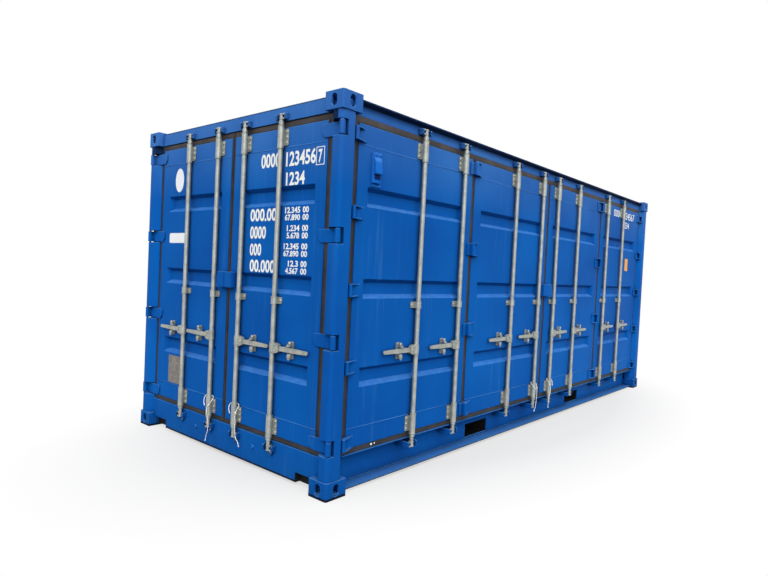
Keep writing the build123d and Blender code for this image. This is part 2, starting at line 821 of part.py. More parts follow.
def keeper(web_distance, upper):
    # pair of rounded lugs on a base plate, one each side of the cam, open towards the outside
    z0 = rod_top - keeper_height + 2 if upper else rod_bottom - 4
    z1 = z0 + keeper_height
    out = -keeper_lug_front
    reach = keeper_lug_offset + keeper_lug_width
    body = block(-reach, reach, web_distance - keeper_base, web_distance, z0, z1)
    for side in (-1, 1):
        lug = block(side * reach, side * keeper_lug_offset, out, web_distance, z0, z1)
        lug = fillet(lug.edges().filter_by(Axis.X).sort_by(Axis.Y)[:2], keeper_corner_radius)
        middle = side * (keeper_lug_offset + keeper_lug_width / 2)
        hole = Pos(middle, out, (z0 + z1) / 2) * Rot(90, 0, 0) * Cylinder(keeper_hole_radius, 20)
        body += lug - hole
    return body


def on_end(shape, place):
    # puts a rod shape, made with its outside facing -Y, on the end doors at Y = place
    return Pos(-half_length + end_rod_inset, place, 0) * Rot(0, 0, -90) * shape


def on_side(shape, place):
    return Pos(place, -half_width + side_rod_inset, 0) * shape


def handle_turned(shape, handle_side):
    # mirrors a rod so that its handle points along -X
    return shape if handle_side > 0 else mirror(shape, about=Plane.YZ)


# Hinges of the end doors
def end_hinges(side):
    # four hinge blades of one end leaf, each with a knuckle round the pin in the post
    pin_x = -half_length + pin_inset
    pin_y = side * (half_width - pin_inset)
    face = -half_length + door_inset
    parts = []
    for z in end_hinge_heights:
        z0 = z - blade_height / 2
        z1 = z + blade_height / 2
        knuckle = post_upright(pin_x, pin_y, z0, z1, knuckle_radius)
        outline = [(pin_y, z0), (side * (blade_end + blade_slant), z0), (side * blade_end, z0 + blade_slant)]
        outline += [(side * blade_end, z1 - 12), (side * (blade_end + 12), z1), (pin_y, z1)]
        wire = Polyline(*[(face, y, z) for y, z in outline], close=True)
        blade = extrude(make_face(wire), blade_thickness, dir=(-1, 0, 0))
        neck = block(pin_x, face, pin_y, pin_y - side * knuckle_radius, z0, z1)
        part = knuckle + blade + neck
        part -= post_upright(pin_x, pin_y, z0 - 1, z1 + 1, pin_radius + pin_clear)
        parts.append(part)
    return parts


def hinge_pins():
    parts = []
    for side in (-1, 1):
        pin_x = -half_length + pin_inset
        pin_y = side * (half_width - pin_inset)
        for z in end_hinge_heights:
            half = hinge_slot_height / 2 + 15
            parts.append(post_upright(pin_x, pin_y, z - half, z + half, pin_radius))
    return parts


# Hinges of the side doors
def gusset_blade(x_pin, direction, z, height_z):
    # hinge lug with a knuckle, upper and lower flanges and a sloping web
    y_pin = -half_width + side_pin_inset
    face = -half_width + door_inset
    z0 = z - height_z / 2
    z1 = z + height_z / 2
    reach = x_pin + direction * side_blade_reach
    knuckle = post_upright(x_pin, y_pin, z0, z1, side_knuckle_radius)
    web = block(x_pin, reach, face - 8, face, z0, z1)
    front = [(x_pin, y_pin - 10), (x_pin + direction * 40, y_pin - 4), (reach, face), (x_pin, face)]
    flange_low = extruded_outline(front, z0, z0 + 8)
    flange_high = extruded_outline(front, z1 - 8, z1)
    return knuckle + web + flange_low + flange_high


def side_hinges():
    parts = []
    for z in side_hinge_heights:
        parts.append(gusset_blade(-side_pin_x, 1, z, 86))
        parts.append(gusset_blade(side_pin_x, -1, z, 86))
    for z in joint_hinge_heights:
        for x, direction in ((-leaf_joint_x, 1), (leaf_joint_x, -1)):
            y_pin = -half_width + side_pin_inset
            face = -half_width + door_inset
            part = gusset_blade(x, direction, z, 110)
            back = x - direction * 60
            part += block(back, x, face - 10, face, z - 50, z + 50)
            part += block(x - direction * 18, x, y_pin - 8, face, z - 50, z + 50)
            parts.append(part)
    return parts


# Lock boxes and plates
def lock_box(y0, y1, open_side):
    # half of a lock box, open below and towards the joint, with its front towards -Y
    front = -half_width + lock_box_front
    face = -half_width + door_inset
    z0 = lock_box_bottom
    z1 = lock_box_bottom + lock_box_height
    t = lock_box_wall
    body = block(y0, y1, front, face, z0, z1)
    cut0 = y0 + (0 if open_side < 0 else t)
    cut1 = y1 - (0 if open_side > 0 else t)
    extra0 = 1 if open_side < 0 else 0
    extra1 = 1 if open_side > 0 else 0
    return body - block(cut0 - extra0, cut1 + extra1, front + t, face - t, z0 - 1, z1 - t)


def vent_box():
    # small ventilator cover near the top of the first side leaf
    face = -half_width + door_inset
    x0 = -side_leaf_edge + 130
    x1 = x0 + vent_width
    z0 = leaf_top - 370
    body = block(x0, x1, face - 22, face, z0, z0 + vent_height)
    body = chamfer(body.edges().filter_by(Axis.Z).sort_by(Axis.Y)[:2], 10)
    return body - block(x0 + 12, x1 - 12, face - 10, face - 4, z0 - 10, z0 + 20)


def data_plate():
    face = -half_length + door_inset
    y0 = end_leaf_edge - 380
    return block(face - 2, face, y0, y0 + 190, 430, 665)


# Cords tied round the lower guides
def tied_cord(loop_half, behind, tail):
    # points of one cord: up its tail, round the back of the rod and down to the knot again
    knot = tail[0]
    side = 1 if knot[0] > 0 else -1
    z = cord_loop_z
    loop = [
        (side * (loop_half - 8), -17, (knot[2] + z) / 2 + 6),
        (side * loop_half, 0, z - 4),
        (side * 24, behind, z + 5),
        (-side * 26, behind - 1, z + 7),
        (-side * loop_half, 1, z),
        (-side * (loop_half - 14), -22, (knot[2] + z) / 2 + 2),
        (-side * 6, -36, knot[2] + 12),
    ]
    return list(reversed(tail)) + loop


def cord(points):
    # limp cord through the given points, made of straight runs and arcs
    radii = []
    for before, here, after in zip(points, points[1:], points[2:]):
        into = Vector(*here) - Vector(*before)
        out = Vector(*after) - Vector(*here)
        turn = radians(into.get_angle(out))
        radii.append(round(0.45 * min(into.length, out.length) / tan(turn / 2), 2))
    path = FilletPolyline(*points, radius=radii)
    start = Plane(origin=path @ 0, z_dir=path % 0)
    tube = sweep(start * Circle(cord_radius), path)
    ratio = tube.volume / (3.14159265 * cord_radius**2 * path.length)
    print("cord length", round(path.length), "mm, radii", radii, "volume ratio", round(ratio, 4))
    return tube


def main():
    leaf_distance_end = door_inset - end_rod_inset
    leaf_distance_side = door_inset - side_rod_inset

    save(Compound(castings()), "corner_castings")
    save(Compound([door_post(-1, True), door_post(1, False)]), "door_posts")
    save(Compound([front_post(-1, True), front_post(1, False)]), "front_posts")
    save(door_header(), "door_header")
    save(door_sill(), "door_sill")
    save(side_top_rail(), "side_top_rail")
    save(Compound(side_bottom_rail()), "side_bottom_rail")
    save(back_top_rail(), "back_top_rail")
    save(Compound(back_bottom_rail()), "back_bottom_rail")
    save(Compound(pocket_frames()), "pocket_frames")
    save(front_top_rail(), "front_top_rail")
    save(front_bottom_rail(), "front_bottom_rail")
    save(back_wall(), "back_wall")
    save(front_wall(), "front_wall")
    save(roof(), "roof")
    save(floor_boards(), "floor_boards")
    save(Compound(floor_beams()), "floor_beams")
    save(Compound(fork_tunnels()), "fork_tunnels")
    save(Compound(tunnel_walls()), "tunnel_walls")
    save(Compound(hinge_pins()), "hinge_pins")

    for side, name in ((1, "left"), (-1, "right")):
        save(end_leaf(side), "end_door_" + name)
        save(end_seal(side), "end_seal_" + name)
        save(Compound(end_hinges(side)), "end_hinges_" + name)
    save(side_seal(), "side_seal")
    for index, (x0, x1) in enumerate(side_leaf_limits()):
        m0, m1 = (rib_margin, rib_margin_joint) if index % 2 == 0 else (rib_margin_joint, rib_margin_joint)
        save(door_leaf(x0, x1, m0, m1, side_place), "side_door_" + str(index + 1))
    save(Compound(side_hinges()), "side_hinges")

    rod = lock_rod()
    for index, place in enumerate(end_rod_places):
        turned = handle_turned(rod, -1 if place > 0 else 1)
        save(on_end(turned, place), "end_rod_" + str(index + 1))
    for index, place in enumerate(side_rod_places):
        turned = handle_turned(rod, -1 if place < 0 else 1)
        save(on_side(turned, place), "side_rod_" + str(index + 1))

    for name, places in (("left", end_rod_places[:2]), ("right", end_rod_places[2:])):
        gear = []
        for place in places:
            handle_side = -1 if place > 0 else 1
            parts = rod_bearings(1, leaf_distance_end) + [handle_catch(handle_side, leaf_distance_end)]
            gear += [on_end(part, place) for part in parts]
        save(Compound(gear), "end_guides_" + name)
    gear = []
    for place in side_rod_places:
        handle_side = -1 if place < 0 else 1
        parts = rod_bearings(-1, leaf_distance_side) + [handle_catch(handle_side, leaf_distance_side)]
        gear += [on_side(part, place) for part in parts]
    save(Compound(gear), "side_guides")

    lugs = []
    for place in end_rod_places:
        lugs.append(on_end(keeper(sill_face - end_rod_inset, False), place))
        lugs.append(on_end(keeper(header_face - end_rod_inset, True), place))
    for place in side_rod_places:
        lugs.append(on_side(keeper(web_inset - side_rod_inset, False), place))
        lugs.append(on_side(keeper(60 - side_rod_inset, True), place))
    save(Compound(lugs), "cam_keepers")

    save(on_end(cord(tied_cord(58, 22, end_cord_2_tail)), end_rod_places[1]), "cord_end_2")
    save(on_end(cord(tied_cord(58, 22, end_cord_3_tail)), end_rod_places[2]), "cord_end_3")
    save(on_side(cord(tied_cord(50, 22, side_cord_4_tail)), side_rod_places[3]), "cord_side_4")
    save(on_side(cord(tied_cord(50, 22, side_cord_5_tail)), side_rod_places[4]), "cord_side_5")

    turn = Pos(-half_length + half_width, 0, 0) * Rot(0, 0, -90)
    save(turn * lock_box(-lock_box_half, -lock_box_gap, 1), "lock_box_left")
    save(turn * lock_box(lock_box_gap, lock_box_half, -1), "lock_box_right")
    save(lock_box(-lock_box_half, lock_box_half, 0), "lock_box_side")
    save(vent_box(), "vent_box")
    save(data_plate(), "data_plate")


main()
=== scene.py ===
import math
import bmesh
import bpy
from mathutils import Matrix, Vector


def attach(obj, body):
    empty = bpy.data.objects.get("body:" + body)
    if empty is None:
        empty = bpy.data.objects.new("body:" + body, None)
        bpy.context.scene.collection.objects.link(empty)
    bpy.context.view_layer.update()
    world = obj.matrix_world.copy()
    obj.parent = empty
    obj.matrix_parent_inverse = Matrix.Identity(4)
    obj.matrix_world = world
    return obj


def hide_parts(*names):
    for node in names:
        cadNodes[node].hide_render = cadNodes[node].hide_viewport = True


# Blue shipping container with two end doors and a folding door side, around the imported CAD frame.
# Metres, +Z up. The end doors face -X, the folding doors face -Y.

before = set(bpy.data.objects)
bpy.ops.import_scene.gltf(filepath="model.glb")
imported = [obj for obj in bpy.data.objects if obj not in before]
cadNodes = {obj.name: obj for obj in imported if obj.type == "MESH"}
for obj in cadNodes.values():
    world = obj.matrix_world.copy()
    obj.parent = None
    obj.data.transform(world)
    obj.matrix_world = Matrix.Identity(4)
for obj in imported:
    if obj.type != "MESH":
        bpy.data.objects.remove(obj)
scene = bpy.context.scene
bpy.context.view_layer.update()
halfLength = 3.029
halfWidth = 1.219
doorFace = .055  # how far the door sheets lie behind the corner castings
print("frame loaded,", len(cadNodes), "nodes")


# Camera

cameraSet = {
    "place": (-5.53957, -3.79469, 1.48031),
    "heading": 40.8788,  # degrees from +X
    "tilt": -1.7679,
    "roll": 2.7211,
    "lens": 27.053,
}


def placeCamera(choice):
    heading, tilt, roll = (math.radians(choice[k]) for k in ("heading", "tilt", "roll"))
    ahead = Vector((math.cos(tilt) * math.cos(heading), math.cos(tilt) * math.sin(heading), math.sin(tilt)))
    level = ahead.cross(Vector((0, 0, 1))).normalized()
    upright = level.cross(ahead)
    right = math.cos(roll) * level + math.sin(roll) * upright
    up = math.cos(roll) * upright - math.sin(roll) * level
    data = bpy.data.cameras.new("camera")
    data.lens = choice["lens"]
    data.clip_end = 200
    camera = bpy.data.objects.new("camera", data)
    turn = Matrix((right, up, -ahead)).transposed().to_4x4()
    camera.matrix_world = Matrix.Translation(choice["place"]) @ turn
    scene.collection.objects.link(camera)
    scene.camera = camera


placeCamera(cameraSet)
print("camera placed")


# Helpers for materials

def toLinear(hexText):
    parts = [int(hexText[i:i + 2], 16) / 255 for i in (1, 3, 5)]
    return tuple(p / 12.92 if p <= .04045 else ((p + .055) / 1.055) ** 2.4 for p in parts) + (1,)


def addNode(tree, kind, settings=None, links=None):
    # one shader node with its properties, socket values and incoming links
    node = tree.nodes.new(kind)
    for name, value in (settings or {}).items():
        if name == "stops":
            ramp = node.color_ramp
            while len(ramp.elements) < len(value):
                ramp.elements.new(.5)
            for element, (place, colour) in zip(ramp.elements, value):
                element.position = place
                element.color = colour
        elif isinstance(name, int) or name in node.inputs:
            node.inputs[name].default_value = value
        else:
            setattr(node, name, value)
    for name, source in (links or {}).items():
        tree.links.new(source, node.inputs[name])
    return node


def startMaterial(name, settings=None):
    # material with one Principled shader; returns it, its tree, the shader and the place on the object
    material = bpy.data.materials.new(name)
    material.use_nodes = True
    tree = material.node_tree
    tree.nodes.clear()
    shader = addNode(tree, "ShaderNodeBsdfPrincipled", settings)
    addNode(tree, "ShaderNodeOutputMaterial", None, {"Surface": shader.outputs[0]})
    return material, tree, shader, addNode(tree, "ShaderNodeTexCoord").outputs["Object"]


def perMillimetre(size):
    # texture scale that repeats about once in a size given in millimetres
    return 1000 / size


def addNoise(tree, place, size, detail, roughness=.5):
    # cloudy noise, its size in millimetres
    return addNode(tree, "ShaderNodeTexNoise",
                   {"Scale": perMillimetre(size), "Detail": detail, "Roughness": roughness}, {"Vector": place})


def addRange(tree, source, low=0, high=1, top=1, bottom=0):
    # bottom where the source is low, top where it is high
    return addNode(tree, "ShaderNodeMapRange",
                   {"From Min": low, "From Max": high, "To Min": bottom, "To Max": top}, {"Value": source})


def addTones(tree, source, low, lowText, high, highText):
    # one colour up to low, another from high on
    stops = [(low, toLinear(lowText)), (high, toLinear(highText))]
    return addNode(tree, "ShaderNodeValToRGB", {"stops": stops}, {0: source})


def addBump(tree, height, strength, distance, normal=None):
    links = {"Height": height} if normal is None else {"Height": height, "Normal": normal}
    return addNode(tree, "ShaderNodeBump", {"Strength": strength, "Distance": distance}, links)


def combine(tree, operation, first, second):
    return addNode(tree, "ShaderNodeMath", {"operation": operation}, {0: first, 1: second})


def layOver(tree, base, share, colourText):
    # lays a colour over the base by a share from 0 to 1; the result is output 2
    return addNode(tree, "ShaderNodeMix", {"data_type": "RGBA", 7: toLinear(colourText)}, {0: share, 6: base})


# Container paint: chassis alkyd sprayed on primed weathering steel.
# Gives the eye a satin royal blue with slow waves in its gloss, pale dust on what faces up and thin rain streaks.

paintSet = {
    "deep": "#0C4F9E",
    "fresh": "#0D5CAD",
    "sheenTint": "#5FA0EE",  # the clear resin over the pigment tints the gloss
    "dust": "#5F92C6",
    "grime": "#16283F",
    "recessShade": "#081833",  # painted shade in corners, under lips and behind the gear
    "chalk": "#7FA6CF",
    "primer": "#8B96A0",
    "sootAndShade": "#0B1730",
    "underseal": "#15161A",
    "shine": .012,
    "roughness": .40,
    "edgeRadius": .003,
    "rim": "#6FA6E0",
    "rimRadius": .007,
    "orangePeel": 5,  # mm between the dimples, drawn coarse so that they show
    "sheetWave": 420,  # mm between the slow waves of the sheet
}


def makeContainerPaint(name, choice, undersealAndShadeTo=0, sootAndShadeFrom=0, shadeFade=0, shadeBand=None, aoShadeReach=.055, aoShadeShare=.75):
    # black underseal colour covers the upright paint below a given height, and stands in for the shade on the lowest
    # edges (painted shade); over a second height dark roof grime and painted shade lie together, and painted shade from
    # the lip thins out over a fade below it;
    # the band is painted shade standing in for a missing recess, between two heights and inside a half width
    settings = {"Specular IOR Level": choice["shine"], "Specular Tint": toLinear(choice["sheenTint"])}
    material, tree, shader, place = startMaterial(name, settings)
    axes = addNode(tree, "ShaderNodeSeparateXYZ", None, {0: place})
    broad = addNoise(tree, place, 900, 3)
    tone = addTones(tree, broad.outputs[0], .35, choice["deep"], .68, choice["fresh"])

    edge = addNode(tree, "ShaderNodeBevel", {"samples": 4, "Radius": choice["edgeRadius"]})
    surface = addNode(tree, "ShaderNodeNewGeometry")
    facing = addNode(tree, "ShaderNodeSeparateXYZ", None, {0: surface.outputs["Normal"]})

    # rain streaks run down the sheets
    tall = addNode(tree, "ShaderNodeMapping", {"Scale": (26, 26, .9)}, {"Vector": place})
    runs = addNode(tree, "ShaderNodeTexNoise", {"Scale": 1, "Detail": 5, "Roughness": .62}, {"Vector": tall.outputs[0]})
    patch = addNoise(tree, place, 600, 2)
    runShare = addRange(tree, runs.outputs[0], .56, .78, .20)
    patchShare = addRange(tree, patch.outputs[0], .42, .66)
    streak = combine(tree, "MULTIPLY", runShare.outputs[0], patchShare.outputs[0])
    streaked = layOver(tree, tone.outputs[0], streak.outputs[0], choice["dust"])

    # dust lies on what faces up
    dustGrain = addNoise(tree, place, 45, 5)
    upward = addRange(tree, facing.outputs["Z"], .25, .95, .6)
    dust = combine(tree, "MULTIPLY", upward.outputs[0], dustGrain.outputs[0])
    dusty = layOver(tree, streaked.outputs[2], dust.outputs[0], choice["dust"])

    # road grime near the ground
    low = addRange(tree, axes.outputs["Z"], .32, .0, .5)
    grime = combine(tree, "MULTIPLY", low.outputs[0], dustGrain.outputs[0])
    grimy = layOver(tree, dusty.outputs[2], grime.outputs[0], choice["grime"])

    # the sun chalks the uppermost paint
    high = addRange(tree, axes.outputs["Z"], 2.0, 2.6, .32)
    chalk = combine(tree, "MULTIPLY", high.outputs[0], broad.outputs[0])
    chalky = layOver(tree, grimy.outputs[2], chalk.outputs[0], choice["chalk"])

    # painted shade: a dark colour laid by ambient occlusion in corners, under lips and behind the lock gear
    corner = addNode(tree, "ShaderNodeAmbientOcclusion", {"samples": 6, "Distance": aoShadeReach})
    cornerShade = addRange(tree, corner.outputs["AO"], .80, .25, aoShadeShare)
    cornerShaded = layOver(tree, chalky.outputs[2], cornerShade.outputs[0], choice["recessShade"])
    last = cornerShaded
    upright = addRange(tree, facing.outputs["Z"], .7, .3)
    # black underseal colour on the lowest upright faces, which also stands in for the shade along the lowest edges
    # (painted shade)
    if undersealAndShadeTo:
        ragged = addNode(tree, "ShaderNodeMath", {"operation": "MULTIPLY_ADD", 1: -.012},
                         {0: dustGrain.outputs[0], 2: axes.outputs["Z"]})
        undersealAndShade = addRange(tree, ragged.outputs[0], undersealAndShadeTo - .004, undersealAndShadeTo - .008, .94)
        undersealAndShadeShare = combine(tree, "MULTIPLY", undersealAndShade.outputs[0], upright.outputs[0])
        last = layOver(tree, cornerShaded.outputs[2], undersealAndShadeShare.outputs[0], choice["underseal"])
    # dark roof grime together with painted shade on the top edge; below it, painted shade from the lip fades out
    # downwards
    if sootAndShadeFrom:
        spotted = addNode(tree, "ShaderNodeMath", {"operation": "MULTIPLY_ADD", 1: .008},
                          {0: dustGrain.outputs[0], 2: axes.outputs["Z"]})
        sootAndShade = addRange(tree, spotted.outputs[0], sootAndShadeFrom, sootAndShadeFrom + .008, .92)
        fadingShade = addRange(tree, spotted.outputs[0], sootAndShadeFrom - shadeFade, sootAndShadeFrom, .6 if shadeFade else 0)
        thickest = combine(tree, "MAXIMUM", sootAndShade.outputs[0], fadingShade.outputs[0])
        sootAndShadeShare = combine(tree, "MULTIPLY", thickest.outputs[0], upright.outputs[0])
        last = layOver(tree, cornerShaded.outputs[2], sootAndShadeShare.outputs[0], choice["sootAndShade"])

    # painted shade: a dark band on the posts between the upper casting and hinge, standing in for a recess that the
    # solids lack
    if shadeBand:
        low, high, width = shadeBand
        above = addRange(tree, axes.outputs["Z"], low, low + .006)
        below = addRange(tree, axes.outputs["Z"], high + .006, high)
        sideways = addNode(tree, "ShaderNodeMath", {"operation": "ABSOLUTE"}, {0: axes.outputs["Y"]})
        within = addRange(tree, sideways.outputs[0], width, width - .006, .88)
        both = combine(tree, "MULTIPLY", above.outputs[0], below.outputs[0])
        bandShare = combine(tree, "MULTIPLY", both.outputs[0], within.outputs[0])
        last = layOver(tree, cornerShaded.outputs[2], bandShare.outputs[0], choice["sootAndShade"])

    # painted highlight: a lighter blue laid on rounded upper edges, where they catch the light
    rim = addNode(tree, "ShaderNodeBevel", {"samples": 4, "Radius": choice["rimRadius"]})
    rimFacing = addNode(tree, "ShaderNodeSeparateXYZ", None, {0: rim.outputs[0]})
    onRim = addRange(tree, rimFacing.outputs["Z"], .15, .55, .5)
    rimShare = combine(tree, "MULTIPLY", onRim.outputs[0], upright.outputs[0])
    last = layOver(tree, last.outputs[2], rimShare.outputs[0], choice["rim"])

    # paint rubbed through to primer on a few edges
    bend = addNode(tree, "ShaderNodeVectorMath", {"operation": "DOT_PRODUCT"},
                   {0: edge.outputs[0], 1: surface.outputs["Normal"]})
    atEdge = addRange(tree, bend.outputs["Value"], .995, .93)
    chips = addNoise(tree, place, 30, 6, .7)
    chipShare = addRange(tree, chips.outputs[0], .60, .66, .55)
    worn = combine(tree, "MULTIPLY", atEdge.outputs[0], chipShare.outputs[0])
    finished = layOver(tree, last.outputs[2], worn.outputs[0], choice["primer"])
    tree.links.new(finished.outputs[2], shader.inputs["Base Color"])

    dull = combine(tree, "ADD", dust.outputs[0], streak.outputs[0])
    gloss = addRange(tree, dull.outputs[0], top=choice["roughness"] + .3, bottom=choice["roughness"])
    tree.links.new(gloss.outputs[0], shader.inputs["Roughness"])

    wave = addNoise(tree, place, choice["sheetWave"], 1)
    peel = addNoise(tree, place, choice["orangePeel"], 1)
    waved = addBump(tree, wave.outputs[0], .5, .006, edge.outputs[0])
    peeled = addBump(tree, peel.outputs[0], .12, .0006, waved.outputs[0])
    tree.links.new(peeled.outputs[0], shader.inputs["Normal"])
    return material


# Hot dip zinc on forged steel: lock rods, guides, handles.
# Gives the eye a pale grey, half matt metal with faint crystal patches, and painted shade in the corners: a darker
# colour laid by ambient occlusion.

# the grime colour of this set is painted shade, laid in the corners by ambient occlusion
zincSet = {"pale": "#A8ACA4", "dark": "#868A86", "grime": "#3A3C3D", "roughness": .42, "crystal": 8}


def makeZinc(name, choice):
    material, tree, shader, place = startMaterial(name, {"Metallic": .5})
    crystal = addNode(tree, "ShaderNodeTexVoronoi", {"Scale": perMillimetre(choice["crystal"])}, {"Vector": place})
    cloud = addNoise(tree, place, 60, 4)
    tint = addNode(tree, "ShaderNodeMix", {"data_type": "FLOAT", 0: .22},
                   {2: cloud.outputs[0], 3: crystal.outputs["Color"]})
    tone = addTones(tree, tint.outputs[0], .3, choice["dark"], .62, choice["pale"])
    # painted shade: a darker colour laid in corners by ambient occlusion
    corner = addNode(tree, "ShaderNodeAmbientOcclusion", {"samples": 6, "Distance": .035})
    cornerShade = addRange(tree, corner.outputs["AO"], .65, .15, .7)
    grimy = layOver(tree, tone.outputs[0], cornerShade.outputs[0], choice["grime"])
    tree.links.new(grimy.outputs[2], shader.inputs["Base Color"])
    rough = addRange(tree, tint.outputs[0], top=choice["roughness"] + .12, bottom=choice["roughness"] - .08)
    tree.links.new(rough.outputs[0], shader.inputs["Roughness"])
    edge = addNode(tree, "ShaderNodeBevel", {"samples": 4, "Radius": .002})
    grain = addNoise(tree, place, 3, 3)
    rise = addBump(tree, grain.outputs[0], .18, .0006, edge.outputs[0])
    tree.links.new(rise.outputs[0], shader.inputs["Normal"])
    return material


# EPDM rubber, extruded door gasket: near black, matt, greyed by dust and chalk where rain dries.

sealSet = {"fresh": "#191A1E", "faded": "#323237", "dust": "#77706A", "film": "#7C6A60", "roughness": .62}


def makeSealRubber(name, choice):
    material, tree, shader, place = startMaterial(name, {"Specular IOR Level": .35})
    cloud = addNoise(tree, place, 140, 4)
    tone = addTones(tree, cloud.outputs[0], .35, choice["fresh"], .7, choice["faded"])
    speck = addNoise(tree, place, 22, 6, .7)
    marks = addRange(tree, speck.outputs[0], .64, .74, .5)
    marked = layOver(tree, tone.outputs[0], marks.outputs[0], choice["dust"])
    axes = addNode(tree, "ShaderNodeSeparateXYZ", None, {0: place})
    high = addRange(tree, axes.outputs["Z"], 2.42, 2.46, .28)
    film = combine(tree, "MULTIPLY", high.outputs[0], cloud.outputs[0])
    filmed = layOver(tree, marked.outputs[2], film.outputs[0], choice["film"])
    tree.links.new(filmed.outputs[2], shader.inputs["Base Color"])
    rough = addRange(tree, cloud.outputs[0], top=choice["roughness"] + .14, bottom=choice["roughness"] - .08)
    tree.links.new(rough.outputs[0], shader.inputs["Roughness"])
    grain = addNoise(tree, place, 2.5, 2)
    rise = addBump(tree, grain.outputs[0], .2, .0005)
    tree.links.new(rise.outputs[0], shader.inputs["Normal"])
    return material


# Marine plywood, birch and hardwood plies, oiled: warm brown boards with long grain and dark scuffs.

floorSet = {"pale": "#9A6B3F", "dark": "#6A4122", "scuff": "#3A2A1C", "grain": 14}


def makePlywood(name, choice):
    material, tree, shader, place = startMaterial(name)
    along = addNode(tree, "ShaderNodeMapping", {"Scale": (.08, 1, 1)}, {"Vector": place})
    grain = addNode(tree, "ShaderNodeTexNoise",
                    {"Scale": perMillimetre(choice["grain"]), "Detail": 6, "Distortion": .6},
                    {"Vector": along.outputs[0]})
    tone = addTones(tree, grain.outputs[0], .32, choice["dark"], .66, choice["pale"])
    wear = addNoise(tree, place, 260, 6, .65)
    share = addRange(tree, wear.outputs[0], .52, .7, .6)
    scuffed = layOver(tree, tone.outputs[0], share.outputs[0], choice["scuff"])
    tree.links.new(scuffed.outputs[2], shader.inputs["Base Color"])
    rough = addRange(tree, wear.outputs[0], top=.75, bottom=.45)
    tree.links.new(rough.outputs[0], shader.inputs["Roughness"])
    rise = addBump(tree, grain.outputs[0], .25, .001)
    tree.links.new(rise.outputs[0], shader.inputs["Normal"])
    return material


# Bitumen underseal, brushed: black and lumpy, with road dust.

undersealSet = {"tar": "#0A0A0B", "dust": "#1B1A19", "lump": 9}


def makeUnderseal(name, choice):
    material, tree, shader, place = startMaterial(name, {"Specular IOR Level": .12})
    lump = addNoise(tree, place, choice["lump"], 4)
    cloud = addNoise(tree, place, 300, 5)
    tone = addTones(tree, cloud.outputs[0], .4, choice["tar"], .75, choice["dust"])
    tree.links.new(tone.outputs[0], shader.inputs["Base Color"])
    rough = addRange(tree, lump.outputs[0], top=.85, bottom=.5)
    tree.links.new(rough.outputs[0], shader.inputs["Roughness"])
    rise = addBump(tree, lump.outputs[0], .5, .002)
    tree.links.new(rise.outputs[0], shader.inputs["Normal"])
    return material


# Rolled aluminium plate, weathered: dull grey-brown with oxide bloom.

plateSet = {"metal": "#8F8B88", "bloom": "#6D6660", "roughness": .5}


def makePlateMetal(name, choice):
    material, tree, shader, place = startMaterial(name, {"Metallic": .6})
    cloud = addNoise(tree, place, 28, 7, .7)
    tone = addTones(tree, cloud.outputs[0], .38, choice["bloom"], .62, choice["metal"])
    tree.links.new(tone.outputs[0], shader.inputs["Base Color"])
    rough = addRange(tree, cloud.outputs[0], top=.8, bottom=choice["roughness"])
    tree.links.new(rough.outputs[0], shader.inputs["Roughness"])
    rise = addBump(tree, cloud.outputs[0], .3, .0008)
    tree.links.new(rise.outputs[0], shader.inputs["Normal"])
    return material


# Stencil enamel and vinyl film: flat, clean colour with a little wear at its edges.

def makeFilm(name, colourText, wornText, roughness):
    material, tree, shader, place = startMaterial(name)
    wear = addNoise(tree, place, 18, 6, .7)
    tone = addTones(tree, wear.outputs[0], .58, colourText, .78, wornText)
    tree.links.new(tone.outputs[0], shader.inputs["Base Color"])
    rough = addRange(tree, wear.outputs[0], top=roughness + .2, bottom=roughness)
    tree.links.new(rough.outputs[0], shader.inputs["Roughness"])
    rise = addBump(tree, wear.outputs[0], .1, .0003)
    tree.links.new(rise.outputs[0], shader.inputs["Normal"])
    return material


# Polyester cord, twisted, bleached by the weather: off-white, with painted shade as dark lines between the strands.

cordSet = {"fibre": "#F1F1EC", "shade": "#CBC9C2", "lay": 6, "wavePeriod": 6.28}


def makeCordFibre(name, choice):
    material, tree, shader, place = startMaterial(name, {"Roughness": .85, "Sheen Weight": .3, "Sheen Roughness": .6})
    slanted = addNode(tree, "ShaderNodeMapping", {"Rotation": (.6, .5, 0)}, {"Vector": place})
    strands = {"bands_direction": "Z", "Scale": perMillimetre(choice["lay"]) / choice["wavePeriod"], "Distortion": .6}
    twist = addNode(tree, "ShaderNodeTexWave", strands,
                    {"Vector": slanted.outputs[0]})
    tone = addTones(tree, twist.outputs[1], .15, choice["shade"], .55, choice["fibre"])
    tree.links.new(tone.outputs[0], shader.inputs["Base Color"])
    rise = addBump(tree, twist.outputs[1], .4, .0008)
    tree.links.new(rise.outputs[0], shader.inputs["Normal"])
    return material


bluePaint = makeContainerPaint("containerPaint", paintSet)
sillPaint = makeContainerPaint("sillPaintUndersealShade", paintSet, .036)
railPaint = makeContainerPaint("railPaintUndersealShade", paintSet, .034, aoShadeReach=.11)
castingPaint = makeContainerPaint("castingPaintUndersealShade", paintSet, .016)
headerPaint = makeContainerPaint("headerPaintSootAndShade", paintSet, sootAndShadeFrom=2.571)
topRailPaint = makeContainerPaint("topRailPaintSootAndShade", paintSet, sootAndShadeFrom=2.539, shadeFade=.035)
postPaint = makeContainerPaint("postPaintShadeBand", paintSet, shadeBand=(2.396, 2.474, 1.174))
# the keepers get stronger painted shade, by ambient occlusion, on their sides and in their hollows
keeperPaint = makeContainerPaint("keeperPaintShaded", paintSet, aoShadeReach=.12, aoShadeShare=.9)
ventPaint = makeContainerPaint("ventPaint", {**paintSet, "deep": "#0A5CB4", "fresh": "#1168C2"}, aoShadeShare=.35)
# painted shade: a dark navy copy of the paint for the plate in the ventilator's open mouth
ventShade = makeContainerPaint("ventMouthShade", {**paintSet, "deep": "#0B1D54", "fresh": "#0F2766"})
zinc = makeZinc("hotDipZinc", zincSet)
